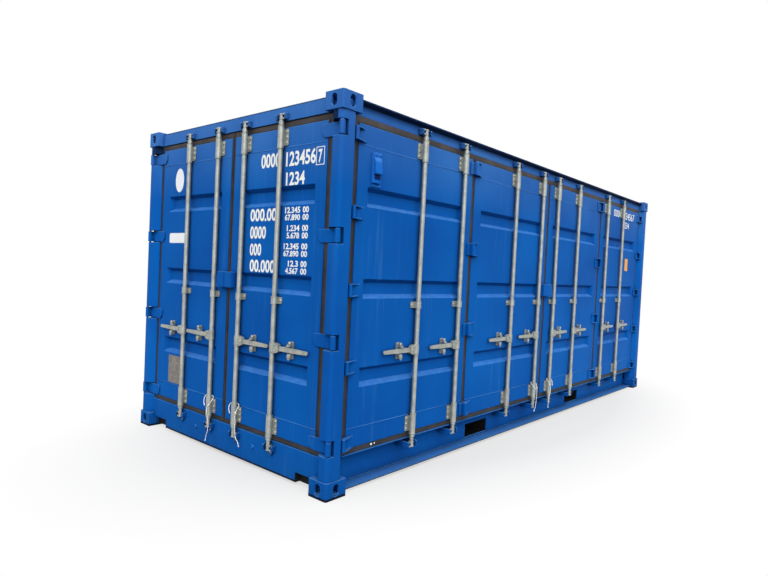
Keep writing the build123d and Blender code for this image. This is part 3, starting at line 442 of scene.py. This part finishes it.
# Bare steel with a skin of brown rust: the small bolts of the catches
rustySteel = makeZinc("rustySteel", {**zincSet, "pale": "#7A6250", "dark": "#4E3A2C", "roughness": .7})
sealRubber = makeSealRubber("sealRubber", sealSet)
plywood = makePlywood("oiledPlywood", floorSet)
underseal = makeUnderseal("bitumenUnderseal", undersealSet)
plateMetal = makePlateMetal("weatheredPlate", plateSet)
whiteEnamel = makeFilm("whiteStencilEnamel", "#E8EAE4", "#A3B5C9", .45)
whiteVinyl = makeFilm("whiteVinyl", "#E4E8EC", "#B8C2CE", .35)
yellowVinyl = makeFilm("yellowVinyl", "#E29A12", "#C98612", .35)
cordFibre = makeCordFibre("twistedCordFibre", cordSet)

finishByWord = (
    ("seal", sealRubber), ("rod", zinc), ("guides", zinc), ("cord", cordFibre),
    ("floor_boards", plywood), ("floor_beams", underseal), ("fork_tunnels", underseal), ("tunnel_walls", underseal),
    ("data_plate", plateMetal), ("door_sill", sillPaint), ("bottom_rail", railPaint), ("pocket_frames", railPaint),
    ("castings", castingPaint), ("door_header", headerPaint), ("side_top_rail", topRailPaint), ("keepers", keeperPaint),
    ("door_posts", postPaint), ("vent_box", ventPaint),
)
for nodeName, node in cadNodes.items():
    found = [finish for word, finish in finishByWord if word in nodeName]
    node.data.materials.clear()
    node.data.materials.append(found[0] if found else bluePaint)
print("materials made")


# Helpers for meshes

def finishPiece(name, mesh, body, material, smooth=False):
    # turns a bmesh into a piece that rides on a CAD body
    bmesh.ops.recalc_face_normals(mesh, faces=mesh.faces)
    data = bpy.data.meshes.new(name)
    for face in mesh.faces:
        face.smooth = smooth
    mesh.to_mesh(data)
    mesh.free()
    piece = bpy.data.objects.new(name, data)
    scene.collection.objects.link(piece)
    data.materials.append(material)
    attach(piece, body)
    return piece


def addTurned(mesh, place, profile, segments=14):
    # surface turned about the local Z of a matrix; the profile goes from the axis to the rim as (radius, height)
    rings = []
    for radius, height in profile:
        if radius == 0:
            rings.append([mesh.verts.new(place @ Vector((0, 0, height)))])
            continue
        ring = []
        for i in range(segments):
            angle = 2 * math.pi * i / segments
            ring.append(mesh.verts.new(place @ Vector((radius * math.cos(angle), radius * math.sin(angle), height))))
        rings.append(ring)
    for inner, outer in zip(rings, rings[1:]):
        for i in range(segments):
            j = (i + 1) % segments
            if len(inner) == 1:
                mesh.faces.new((inner[0], outer[i], outer[j]))
            elif len(outer) == 1:
                mesh.faces.new((inner[i], inner[j], outer[0]))
            else:
                mesh.faces.new((inner[i], inner[j], outer[j], outer[i]))


def addFrameBead(mesh, low, high, profile, toPlace):
    # closed bead round a rectangle; the profile gives (outwards, height), toPlace puts (along, up, height) in the world
    rings = []
    for outwards, height in profile:
        corners = [(low[0] - outwards, low[1] - outwards), (high[0] + outwards, low[1] - outwards)]
        corners += [(high[0] + outwards, high[1] + outwards), (low[0] - outwards, high[1] + outwards)]
        rings.append([mesh.verts.new(toPlace(a, b, height)) for a, b in corners])
    for k in range(len(rings)):
        ring, other = rings[k], rings[(k + 1) % len(rings)]
        for i in range(4):
            j = (i + 1) % 4
            mesh.faces.new((ring[i], ring[j], other[j], other[i]))


def addStrip(mesh, start, end, across, outwards, profile):
    # straight bead from start to end with closed ends; the profile gives (across, out) points
    rings = []
    for point in (start, end):
        rings.append([mesh.verts.new(point + across * a + outwards * b) for a, b in profile])
    count = len(profile)
    for i in range(count):
        j = (i + 1) % count
        mesh.faces.new((rings[0][i], rings[0][j], rings[1][j], rings[1][i]))
    mesh.faces.new(rings[0])
    mesh.faces.new(list(reversed(rings[1])))


def addPlate(mesh, low, high, back, front, toPlace):
    # flat plate between two heights over a wall
    rings = []
    for height in (back, front):
        corners = ((low[0], low[1]), (high[0], low[1]), (high[0], high[1]), (low[0], high[1]))
        rings.append([mesh.verts.new(toPlace(a, b, height)) for a, b in corners])
    mesh.faces.new(rings[0])
    mesh.faces.new(list(reversed(rings[1])))
    for i in range(4):
        j = (i + 1) % 4
        mesh.faces.new((rings[0][i], rings[0][j], rings[1][j], rings[1][i]))


rodInset = {"end": .030, "side": .025}  # how far the rods' axes lie behind the corner castings
faceOut = Matrix.Rotation(math.radians(90), 4, "X")  # turns a head so that it faces -Y


def rodPlace(kind, place):
    # matrix from a rod's own frame, with its outside facing -Y, to the world
    if kind == "end":
        turn = Matrix.Rotation(math.radians(-90), 4, "Z")
        return Matrix.Translation((-halfLength + rodInset[kind], place, 0)) @ turn
    return Matrix.Translation((place, -halfWidth + rodInset[kind], 0))


def handleSideOf(kind, rod):
    # side of a rod, in its own frame, on which its handle lies
    return -1 if (rod > 0) == (kind == "end") else 1


# Cords tied round four lower guides

cordPieces = {
    "cordEnd2": {
        "node": "cord_end_2", "body": "end_leaf_left", "kind": "end", "rod": .170, "length": .577, "loopHalf": 58,
        "tail": [(16, -31, 343), (21, -29, 292), (28, -23, 242), (31, -20, 198),
                 (24, -20, 156), (8, -21, 117), (-2, -20, 77)],
    },
    "cordEnd3": {
        "node": "cord_end_3", "body": "end_leaf_right", "kind": "end", "rod": -.170, "length": .517, "loopHalf": 58,
        "tail": [(46, -27, 350), (53, -25, 305), (50, -26, 262), (51, -22, 222),
                 (56, -22, 186), (84, -17, 160), (91, -14, 130)],
    },
    "cordSide4": {
        "node": "cord_side_4", "body": "container", "kind": "side", "rod": -.177, "length": .491, "loopHalf": 50,
        "tail": [(18, -31, 350), (24, -29, 306), (30, -24, 254), (31, -21, 208), (20, -20, 170), (-2, -20, 143)],
    },
    "cordSide5": {
        "node": "cord_side_5", "body": "container", "kind": "side", "rod": .177, "length": .494, "loopHalf": 50,
        "tail": [(-18, -31, 348), (-22, -29, 296), (-30, -24, 246), (-31, -21, 202), (-33, -20, 166), (-31, -19, 132)],
    },
}
cordRadius = .0025
cordLoopHeight = 423.5  # mm, as the loops and tails are
cordBehind = 22


def makeCord(name, choice):
    tail = choice["tail"]
    knot = tail[0]
    side = 1 if knot[0] > 0 else -1
    high, behind = cordLoopHeight, cordBehind
    half = choice["loopHalf"]
    loop = [
        (-side * 6, -36, knot[2] + 12),
        (-side * (half - 14), -22, (knot[2] + high) / 2 + 2),
        (-side * half, 1, high),
        (-side * 26, behind - 1, high + 7),
        (side * 24, behind, high + 5),
        (side * half, 0, high - 4),
        (side * (half - 8), -17, (knot[2] + high) / 2 + 6),
    ]
    move = rodPlace(choice["kind"], choice["rod"])
    points = [move @ (Vector(p) / 1000) for p in loop + tail]
    data = bpy.data.curves.new(name, "CURVE")
    data.dimensions = "3D"
    data.bevel_depth = cordRadius
    data.bevel_resolution = 5
    data.resolution_u = 10
    data.use_fill_caps = True
    spline = data.splines.new("NURBS")
    spline.points.add(len(points) - 1)
    for target, point in zip(spline.points, points):
        target.co = (*point, 1)
    spline.order_u = 3
    spline.use_endpoint_u = True
    data.materials.append(cordFibre)
    piece = bpy.data.objects.new(name, data)
    scene.collection.objects.link(piece)
    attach(piece, choice["body"])
    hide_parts(choice["node"])

    # the knot at the loop and the small stopper knot at the tail's end
    knots = bmesh.new()
    for point, size in ((points[6] * .5 + points[7] * .5, .0075), (points[-1], .0052)):
        spot = Matrix.Translation(point)
        addTurned(knots, spot, [(0, -size), (size * .6, -size * .8), (size, -size * .25), (size * .86, 0),
                                (size * 1.02, size * .3), (size * .6, size * .85), (0, size * 1.05)], 16)
    knotPiece = finishPiece(name + "Knots", knots, choice["body"], cordFibre, True)


for cordName, cordChoice in cordPieces.items():
    makeCord(cordName, cordChoice)
print("cords made")


# Rods and their guides: screws, rivets, weld collars

endRods = (.590, .170, -.170, -.590)
sideRods = (-2.140, -1.598, -.718, -.177, .177, .718, 1.598, 2.140)
handleHeight = .906
screwSet = {"radius": .0085, "height": .007, "washer": .012}
guideSet = {
    "plateMiddles": (.351, 2.363), "plateAcross": .045, "plateBolts": (-.038, 0, .038),
    "housingEnds": (.276, .426, 2.288, 2.438), "shortEnds": (1.212, 1.258), "radius": .023,
    "shortMiddle": 1.235, "shortAcross": .044,
    "headAt": {"end": .017, "side": .022},  # where the heads sit behind the rod's axis
}
catchSet = {"across": .188, "screws": (-.052, .052), "bolts": ((.048, -.0165), (-.053, -.0115))}


def screwProfile(size):
    r, h = screwSet["radius"] * size, screwSet["height"] * size
    washer = screwSet["washer"] * size
    head = [(0, h), (r * .62, h * .97), (r * .93, h * .72), (r, h * .35), (r, .0018)]
    return head + [(washer, .0016), (washer, -.001), (0, -.001)]


def guideScrews(name, kind, rods, plateSide, body):
    # heads of the screws in the plates beside the guides and in the catches
    mesh = bmesh.new()
    bolts = bmesh.new()
    headAt = guideSet["headAt"][kind]
    boltProfile = [(0, .0022), (.0035, .0018), (.0056, .0002), (.0056, -.003), (0, -.003)]
    for rod in rods:
        frameOf = rodPlace(kind, rod)

        def addHead(target, across, front, height, profile, segments=14):
            addTurned(target, frameOf @ Matrix.Translation((across, front, height)) @ faceOut, profile, segments)

        for middle in guideSet["plateMiddles"]:
            for rise in guideSet["plateBolts"]:
                addHead(mesh, plateSide * guideSet["plateAcross"], headAt, middle + rise, screwProfile(1))
        addHead(mesh, plateSide * guideSet["shortAcross"], headAt, guideSet["shortMiddle"], screwProfile(.9))
        # rolled rims at both ends of each guide
        r = guideSet["radius"]
        for end in guideSet["housingEnds"] + guideSet["shortEnds"]:
            lower = [(r - .001, end - .003), (r + .0012, end - .0026), (r + .0022, end)]
            addTurned(mesh, frameOf, lower + [(r + .0012, end + .0026), (r - .001, end + .003)], 24)
        across = handleSideOf(kind, rod) * catchSet["across"]
        for rise in catchSet["screws"]:
            addHead(mesh, across, headAt, handleHeight + rise, screwProfile(.7))
        for rise, front in catchSet["bolts"]:
            addHead(bolts, across, front, handleHeight + rise, boltProfile, 12)
    finishPiece(name + "Bolts", bolts, body, rustySteel, True)
    finishPiece(name, mesh, body, zinc, True)


guideScrews("guideScrewsLeft", "end", endRods[:2], 1, "end_leaf_left")
guideScrews("guideScrewsRight", "end", endRods[2:], 1, "end_leaf_right")
guideScrews("guideScrewsSide", "side", sideRods, -1, "container")


trimSet = {
    "rivets": ((.034, .022, .95), (.034, -.022, .95), (.060, 0, 1.1)),  # across, rise, size
    "rivetFront": -.013, "collars": ((.866, .873), (.939, .946)),
}


def rodTrim(name, kind, rod, body):
    # rivets of the handle hub and weld collars above and below it, all on the rod's own body
    mesh = bmesh.new()
    frameOf = rodPlace(kind, rod)
    for across, rise, size in trimSet["rivets"]:
        spot = (handleSideOf(kind, rod) * across, trimSet["rivetFront"], handleHeight + rise)
        dome = [(0, .006 * size), (.006 * size, .005 * size), (.009 * size, .002 * size)]
        addTurned(mesh, frameOf @ Matrix.Translation(spot) @ faceOut, dome + [(.0095 * size, -.001), (0, -.001)])
    for low, high in trimSet["collars"]:
        ring = [(.0165, low), (.0195, low + .0012), (.0208, (low + high) / 2), (.0195, high - .0012), (.0165, high)]
        addTurned(mesh, frameOf, ring, 20)
    finishPiece(name, mesh, body, zinc, True)


for number, rod in enumerate(endRods, 1):
    rodTrim("endRodTrim%d" % number, "end", rod, "end_rod_%d" % number)
for number, rod in enumerate(sideRods, 1):
    rodTrim("sideRodTrim%d" % number, "side", rod, "side_rod_%d" % number)
print("rod hardware made")


# Weld seams across the door leaves, and the lips of the seals

leafLimits = {
    "end_leaf_left": [(.023, 1.040)], "end_leaf_right": [(-1.040, -.023)],
    "side": [(-2.818, -1.448), (-1.402, -.023), (.023, 1.402), (1.448, 2.818)],
}
seamSet = {"heights": (2.295, .415), "half": .004, "proud": .0018}
lipSet = {
    "profile": [(.003, 0), (.004, .0028), (.007, .0036), (.010, .0028), (.011, 0), (.007, -.001)],
    "sealFront": .060, "low": .286, "high": 2.430,
}


def endPoint(along, up, out):
    return Vector((-halfLength + doorFace - out, along, up))


def sidePoint(along, up, out):
    return Vector((along, -halfWidth + doorFace - out, up))


def leafSeams(name, limits, body, toPlace):
    mesh = bmesh.new()
    half, proud = seamSet["half"], seamSet["proud"]
    outwards = toPlace(0, 0, 1) - toPlace(0, 0, 0)
    for low, high in limits:
        for rise in seamSet["heights"]:
            addStrip(mesh, toPlace(low, rise, 0), toPlace(high, rise, 0), Vector((0, 0, 1)), outwards,
                     [(-half, -.001), (-half * .8, proud * .6), (0, proud), (half * .8, proud * .6), (half, -.001)])
    finishPiece(name, mesh, body, bluePaint, True)


def sealLips(name, limits, body, toPlace):
    mesh = bmesh.new()
    behind = lipSet["sealFront"] - doorFace

    def onSeal(along, up, out):
        return toPlace(along, up, out - behind)

    for low, high in limits:
        addFrameBead(mesh, (low, lipSet["low"]), (high, lipSet["high"]), lipSet["profile"], onSeal)
    finishPiece(name, mesh, body, sealRubber)


leafSeams("leafSeamsLeft", leafLimits["end_leaf_left"], "end_leaf_left", endPoint)
leafSeams("leafSeamsRight", leafLimits["end_leaf_right"], "end_leaf_right", endPoint)
leafSeams("leafSeamsSide", leafLimits["side"], "container", sidePoint)
sealLips("sealLipsLeft", leafLimits["end_leaf_left"], "end_leaf_left", endPoint)
sealLips("sealLipsRight", leafLimits["end_leaf_right"], "end_leaf_right", endPoint)
sealLips("sealLipsSide", leafLimits["side"], "container", sidePoint)
print("seams and seal lips made")


# Markings: plain numbers and bare stickers where the photographed one has lettering

numberSet = {
    "proud": .0006,
    "rows": [
        # text, along at the left, along at the right, bottom, top
        ("0000", -.347, -.560, 2.168, 2.270),
        ("123456", -.625, -.930, 2.162, 2.264),
        ("7", -.955, -.990, 2.162, 2.250),
        ("1234", -.632, -.828, 2.030, 2.122),
        ("000.00", -.242, -.545, 1.790, 1.882),
        ("0000", -.246, -.432, 1.664, 1.756),
        ("000", -.250, -.385, 1.541, 1.631),
        ("00.000", -.256, -.545, 1.422, 1.514),
    ],
    "small": [
        ("12.345", 1.840), ("67.890", 1.790), ("1.234", 1.716), ("5.678", 1.666),
        ("12.345", 1.592), ("67.890", 1.542), ("12.3", 1.474), ("4.567", 1.424),
    ],
    "smallRight": -.795, "smallPitch": .0262, "smallHeight": .042, "pair": (-.822, -.882),
    "box": ((-1.008, 2.152), (-.938, 2.262)), "boxLine": [(0, .0006), (.005, .0006), (.005, -.0003), (0, -.0003)],
    "sideRows": [
        ("0000", 1.870, 2.130, 2.302, 2.392), ("1234567", 2.190, 2.640, 2.298, 2.388),
        ("1234", 2.230, 2.450, 2.180, 2.262),
    ],
    "sideWeight": .004, "filmThick": .0009,
}


def numberMesh(text, weight):
    curve = bpy.data.curves.new("numbers", "FONT")
    curve.body = text
    curve.resolution_u = 3
    curve.offset = weight  # heavier strokes, like a stencil's
    holder = bpy.data.objects.new("numbers", curve)
    scene.collection.objects.link(holder)
    shown = holder.evaluated_get(bpy.context.evaluated_depsgraph_get())
    data = bpy.data.meshes.new_from_object(shown)
    bpy.data.objects.remove(holder)
    bpy.data.curves.remove(curve)
    return data


def addNumbers(mesh, text, toPlace, left, right, bottom, top, proud, weight=.026):
    # flat numbers fitted between the given limits
    data = numberMesh(text, weight)
    xs = [v.co.x for v in data.vertices]
    ys = [v.co.y for v in data.vertices]
    low, high, base, cap = min(xs), max(xs), min(ys), max(ys)
    verts = []
    for v in data.vertices:
        along = left + (right - left) * (v.co.x - low) / (high - low)
        up = bottom + (top - bottom) * (v.co.y - base) / (cap - base)
        verts.append(mesh.verts.new(toPlace(along, up, proud)))
    for polygon in data.polygons:
        mesh.faces.new([verts[i] for i in polygon.vertices])
    bpy.data.meshes.remove(data)


def thicken(mesh, offset):
    # closes flat film into a thin solid
    flat = list(mesh.faces)
    bmesh.ops.recalc_face_normals(mesh, faces=flat)
    copy = bmesh.ops.extrude_face_region(mesh, geom=flat)
    for item in copy["geom"]:
        if isinstance(item, bmesh.types.BMVert):
            item.co += offset


def makeNumbers():
    mesh = bmesh.new()
    proud = numberSet["proud"]
    for text, left, right, bottom, top in numberSet["rows"]:
        addNumbers(mesh, text, endPoint, left, right, bottom, top, proud)
    for text, bottom in numberSet["small"]:
        right = numberSet["smallRight"]
        left = right + numberSet["smallPitch"] * len(text)
        top = bottom + numberSet["smallHeight"]
        addNumbers(mesh, text, endPoint, left, right, bottom, top, proud)
        addNumbers(mesh, "00", endPoint, *numberSet["pair"], bottom, top, proud)
    thicken(mesh, Vector((numberSet["filmThick"], 0, 0)))
    addFrameBead(mesh, *numberSet["box"], numberSet["boxLine"], endPoint)
    finishPiece("numbersEnd", mesh, "end_leaf_right", whiteEnamel)
    mesh = bmesh.new()
    for text, left, right, bottom, top in numberSet["sideRows"]:
        addNumbers(mesh, text, sidePoint, left, right, bottom, top, proud, numberSet["sideWeight"])
    thicken(mesh, Vector((0, numberSet["filmThick"], 0)))
    finishPiece("numbersSide", mesh, "container", whiteEnamel)


stickerSet = {
    # middle, half size and corner radii, along and up
    "oval": ((.775, 2.160), (.066, .100), (.066, .100)), "strip": ((.784, 1.671), (.126, .042), (.012, .012)),
    "yellow": ((2.425, 1.703), (.055, .080), (.006, .006)), "proud": .0008, "back": -.0003,
}


def addSticker(mesh, toPlace, middle, half, corner, segments=6):
    # flat sheet with rounded corners
    points = []
    for sx, sy, start in ((1, 1, 0), (-1, 1, 90), (-1, -1, 180), (1, -1, 270)):
        for i in range(segments + 1):
            angle = math.radians(start + 90 * i / segments)
            along = middle[0] + sx * (half[0] - corner[0]) + corner[0] * math.cos(angle)
            up = middle[1] + sy * (half[1] - corner[1]) + corner[1] * math.sin(angle)
            points.append((along, up))
    front = [mesh.verts.new(toPlace(a, b, stickerSet["proud"])) for a, b in points]
    back = [mesh.verts.new(toPlace(a, b, stickerSet["back"])) for a, b in points]
    mesh.faces.new(front)
    mesh.faces.new(list(reversed(back)))
    count = len(points)
    for i in range(count):
        j = (i + 1) % count
        mesh.faces.new((front[i], front[j], back[j], back[i]))


def makeStickers():
    mesh = bmesh.new()
    addSticker(mesh, endPoint, *stickerSet["oval"], segments=10)
    addSticker(mesh, endPoint, *stickerSet["strip"])
    finishPiece("whiteStickers", mesh, "end_leaf_left", whiteVinyl)
    mesh = bmesh.new()
    addSticker(mesh, sidePoint, *stickerSet["yellow"])
    finishPiece("yellowSticker", mesh, "container", yellowVinyl)


makeNumbers()
makeStickers()
print("markings made")


# Small parts on the end sill and the data plate

sillSet = {
    "plugs": ((.381, .137), (-.376, .148)), "plugInset": .052,
    "plug": [(0, .004), (.007, .004), (.010, .007), (.014, .007), (.018, .003), (.019, -.002), (0, -.002)],
    "bossInset": .045, "bossAside": .007, "bossHeight": .160,
    "boss": [(0, -.007), (.008, -.007), (.015, -.007), (.016, .006),
             (.018, .008), (.021, .006), (.023, -.008), (0, -.008)],
    "bolt": [(0, .004), (.005, .003), (.0075, .000), (.0075, -.006), (0, -.006)],
    "notch": (.855, 1.057), "notchLow": .019, "notchHigh": .0925, "cheek": .006,
}
rivetSet = {
    "alongs": (.668, .842), "ups": (.438, .548, .657), "inset": .053,
    "profile": [(0, .0022), (.003, .0018), (.0042, .0004), (.0042, -.001), (0, -.001)],
}


def makeSmallParts():
    outward = Matrix.Rotation(math.radians(-90), 4, "Y")

    def spotOn(inset, along, up):
        return Matrix.Translation((-halfLength + inset, along, up)) @ outward

    mesh = bmesh.new()
    for along, up in sillSet["plugs"]:
        addTurned(mesh, spotOn(sillSet["plugInset"], along, up), sillSet["plug"], 20)
    bossSpots = [spotOn(sillSet["bossInset"], rod - sillSet["bossAside"], sillSet["bossHeight"]) for rod in endRods]
    for spot in bossSpots:
        addTurned(mesh, spot, sillSet["boss"], 24)
    finishPiece("sillBosses", mesh, "container", bluePaint, True)
    mesh = bmesh.new()
    for spot in bossSpots:
        addTurned(mesh, spot, sillSet["bolt"], 16)
    finishPiece("sillBossBolts", mesh, "container", zinc, True)
    # boxed-in notches at both ends of the sill: a back plate and a cheek each, in black underseal, which also stands in
    # for the shade inside the notches (painted shade)
    mesh = bmesh.new()
    for side in (-1, 1):
        inner, outer = (side * edge for edge in sillSet["notch"])
        cheek = inner + side * sillSet["cheek"]
        for edge, back, front in ((outer, -.046, -.040), (cheek, -.042, .001)):
            low, high = (min(inner, edge), sillSet["notchLow"]), (max(inner, edge), sillSet["notchHigh"])
            addPlate(mesh, low, high, back, front, endPoint)
    finishPiece("notchPlates", mesh, "container", underseal)
    mesh = bmesh.new()
    for along in rivetSet["alongs"]:
        for up in rivetSet["ups"]:
            addTurned(mesh, spotOn(rivetSet["inset"], along, up), rivetSet["profile"], 12)
    finishPiece("plateRivets", mesh, "end_leaf_left", plateMetal, True)


makeSmallParts()


# Sealant along the upper edges, flange of the ventilator, blobs on the seal

sealantSet = {
    "half": .0045, "rise": .0035, "endInset": .056, "endHeight": 2.577, "endShort": .164,
    "sideInset": .036, "sideHeight": 2.573, "sideShort": .180,
}
ventSet = {
    "low": (-2.690, 2.036), "high": (-2.586, 2.266), "thick": .004, "left": -2.683, "right": -2.613,
    "hood": [(2.230, .021), (2.224, .025), (2.202, .031), (2.132, .040), (2.122, .040), (2.118, .037), (2.118, .021)],
    "mouthLow": (-2.677, 2.084), "mouthHigh": (-2.619, 2.119), "mouthDepths": (.020, .0232),
    "flange": [(-.006, .0038), (-.004, .0062), (-.001, .0062), (0, .0038)],
    "screws": (-2.668, -2.628), "screwHeight": 2.247,
}
blobSet = {"places": ((-2.554, .268, .010), (-2.520, .269, .006)), "inset": .060}  # along, up, size


def makeSealant():
    mesh = bmesh.new()
    half, rise = sealantSet["half"], sealantSet["rise"]
    profile = [(-half, -.001), (-half * .7, rise * .7), (0, rise), (half * .7, rise * .7), (half, -.001)]
    up = Vector((0, 0, 1))
    x, reach = -halfLength + sealantSet["endInset"], halfWidth - sealantSet["endShort"]
    height = sealantSet["endHeight"]
    addStrip(mesh, Vector((x, -reach, height)), Vector((x, reach, height)), Vector((1, 0, 0)), up, profile)
    y, reach = -halfWidth + sealantSet["sideInset"], halfLength - sealantSet["sideShort"]
    height = sealantSet["sideHeight"]
    addStrip(mesh, Vector((-reach, y, height)), Vector((reach, y, height)), Vector((0, 1, 0)), up, profile)
    finishPiece("edgeSealant", mesh, "container", sealRubber, True)


def makeVentHood():
    mesh = bmesh.new()
    addPlate(mesh, ventSet["low"], ventSet["high"], -.001, ventSet["thick"], sidePoint)
    addFrameBead(mesh, ventSet["low"], ventSet["high"], ventSet["flange"], sidePoint)
    # pressed hood, open below, and the screws of its upper tab
    start, end = sidePoint(ventSet["left"], 0, 0), sidePoint(ventSet["right"], 0, 0)
    addStrip(mesh, start, end, Vector((0, 0, 1)), Vector((0, -1, 0)), ventSet["hood"])
    for along in ventSet["screws"]:
        addTurned(mesh, Matrix.Translation(sidePoint(along, ventSet["screwHeight"], .021)) @ faceOut, screwProfile(.8))
    finishPiece("ventHood", mesh, "container", ventPaint)
    # painted shade: a dark plate under the hood, standing in for the shade inside its open mouth
    mesh = bmesh.new()
    addPlate(mesh, ventSet["mouthLow"], ventSet["mouthHigh"], *ventSet["mouthDepths"], sidePoint)
    finishPiece("ventMouthShadePlate", mesh, "container", ventShade)


def makeBlobs():
    # dried filler that was dropped on the lower seal
    mesh = bmesh.new()
    for along, up, size in blobSet["places"]:
        spot = Matrix.Translation((along, -halfWidth + blobSet["inset"], up)) @ faceOut
        drop = [(0, size * .5), (size * .6, size * .42), (size * .95, size * .15), (size, -.001), (0, -.001)]
        addTurned(mesh, spot, drop)
    finishPiece("fillerBlobs", mesh, "container", whiteEnamel, True)


makeSealant()
makeVentHood()
makeBlobs()
print("small parts made")


# Floor, light and white surround

studioSet = {
    "floor": "#B4B4B4", "floorUnder": "#303030", "zenith": 1.75, "horizon": .72, "below": .03,
    "lampPower": 2.5, "lampAngle": 75, "lampAim": (.60, .68, -.66),
}


def seenDirectly(tree):
    # 1 for the rays that show the surround itself: from the camera, in metal and through glass
    rays = addNode(tree, "ShaderNodeLightPath")
    direct = combine(tree, "MAXIMUM", rays.outputs["Is Camera Ray"], rays.outputs["Is Glossy Ray"])
    return combine(tree, "MAXIMUM", direct.outputs[0], rays.outputs["Is Transmission Ray"])


def makeStudio(choice):
    mesh = bmesh.new()
    bmesh.ops.create_circle(mesh, cap_ends=True, radius=60, segments=96)
    data = bpy.data.meshes.new("floor")
    mesh.to_mesh(data)
    mesh.free()
    floor = bpy.data.objects.new("floor", data)
    floor.location = (0, 0, -.001)
    scene.collection.objects.link(floor)
    material, tree, shader, place = startMaterial("paleFloor", {"Roughness": .9, "Specular IOR Level": .1})
    output = [n for n in tree.nodes if n.type == "OUTPUT_MATERIAL"][0]
    # a pale floor to the eye that sends little light back up under the container
    seen = seenDirectly(tree)
    greys = {6: toLinear(choice["floorUnder"]), 7: toLinear(choice["floor"])}
    tone = addNode(tree, "ShaderNodeMix", {"data_type": "RGBA", **greys}, {0: seen.outputs[0]})
    tree.links.new(tone.outputs[2], shader.inputs["Base Color"])
    # away from the container the floor turns into the white surround
    shrunk = addNode(tree, "ShaderNodeVectorMath", {"operation": "MULTIPLY", 1: (.30, .55, 0)}, {0: place})
    reach = addNode(tree, "ShaderNodeVectorMath", {"operation": "LENGTH"}, {0: shrunk.outputs[0]})
    fade = addRange(tree, reach.outputs["Value"], .9, 1.35, bottom=.55)
    share = combine(tree, "MULTIPLY", fade.outputs[0], seen.outputs[0])
    white = addNode(tree, "ShaderNodeEmission", {"Color": (1, 1, 1, 1), "Strength": 1})
    mixed = addNode(tree, "ShaderNodeMixShader", None, {0: share.outputs[0], 1: shader.outputs[0], 2: white.outputs[0]})
    tree.links.new(mixed.outputs[0], output.inputs["Surface"])
    data.materials.append(material)

    world = bpy.data.worlds.new("studio")
    scene.world = world
    world.use_nodes = True
    tree = world.node_tree
    tree.nodes.clear()
    ray = addNode(tree, "ShaderNodeTexCoord").outputs["Generated"]
    axes = addNode(tree, "ShaderNodeSeparateXYZ", None, {0: ray})
    height = addRange(tree, axes.outputs["Z"], -1, 1)
    levels = ((.45, choice["below"]), (.5, choice["horizon"]), (1, choice["zenith"]))
    stops = [(level, (value, value, value, 1)) for level, value in levels]
    glow = addNode(tree, "ShaderNodeValToRGB", {"stops": stops}, {0: height.outputs[0]})
    seen = seenDirectly(tree)
    sky = addNode(tree, "ShaderNodeBackground", {"Strength": 1}, {"Color": glow.outputs[0]})
    surround = addNode(tree, "ShaderNodeBackground", {"Color": (1, 1, 1, 1), "Strength": 1})
    mixed = addNode(tree, "ShaderNodeMixShader", None, {0: seen.outputs[0], 1: sky.outputs[0], 2: surround.outputs[0]})
    addNode(tree, "ShaderNodeOutputWorld", None, {"Surface": mixed.outputs[0]})

    sun = bpy.data.lights.new("softKey", "SUN")
    sun.energy = choice["lampPower"]
    sun.angle = math.radians(choice["lampAngle"])
    lamp = bpy.data.objects.new("softKey", sun)
    lamp.rotation_euler = Vector(choice["lampAim"]).to_track_quat("-Z", "Y").to_euler()
    scene.collection.objects.link(lamp)
    scene.view_settings.view_transform = "Standard"


makeStudio(studioSet)
print("studio made")
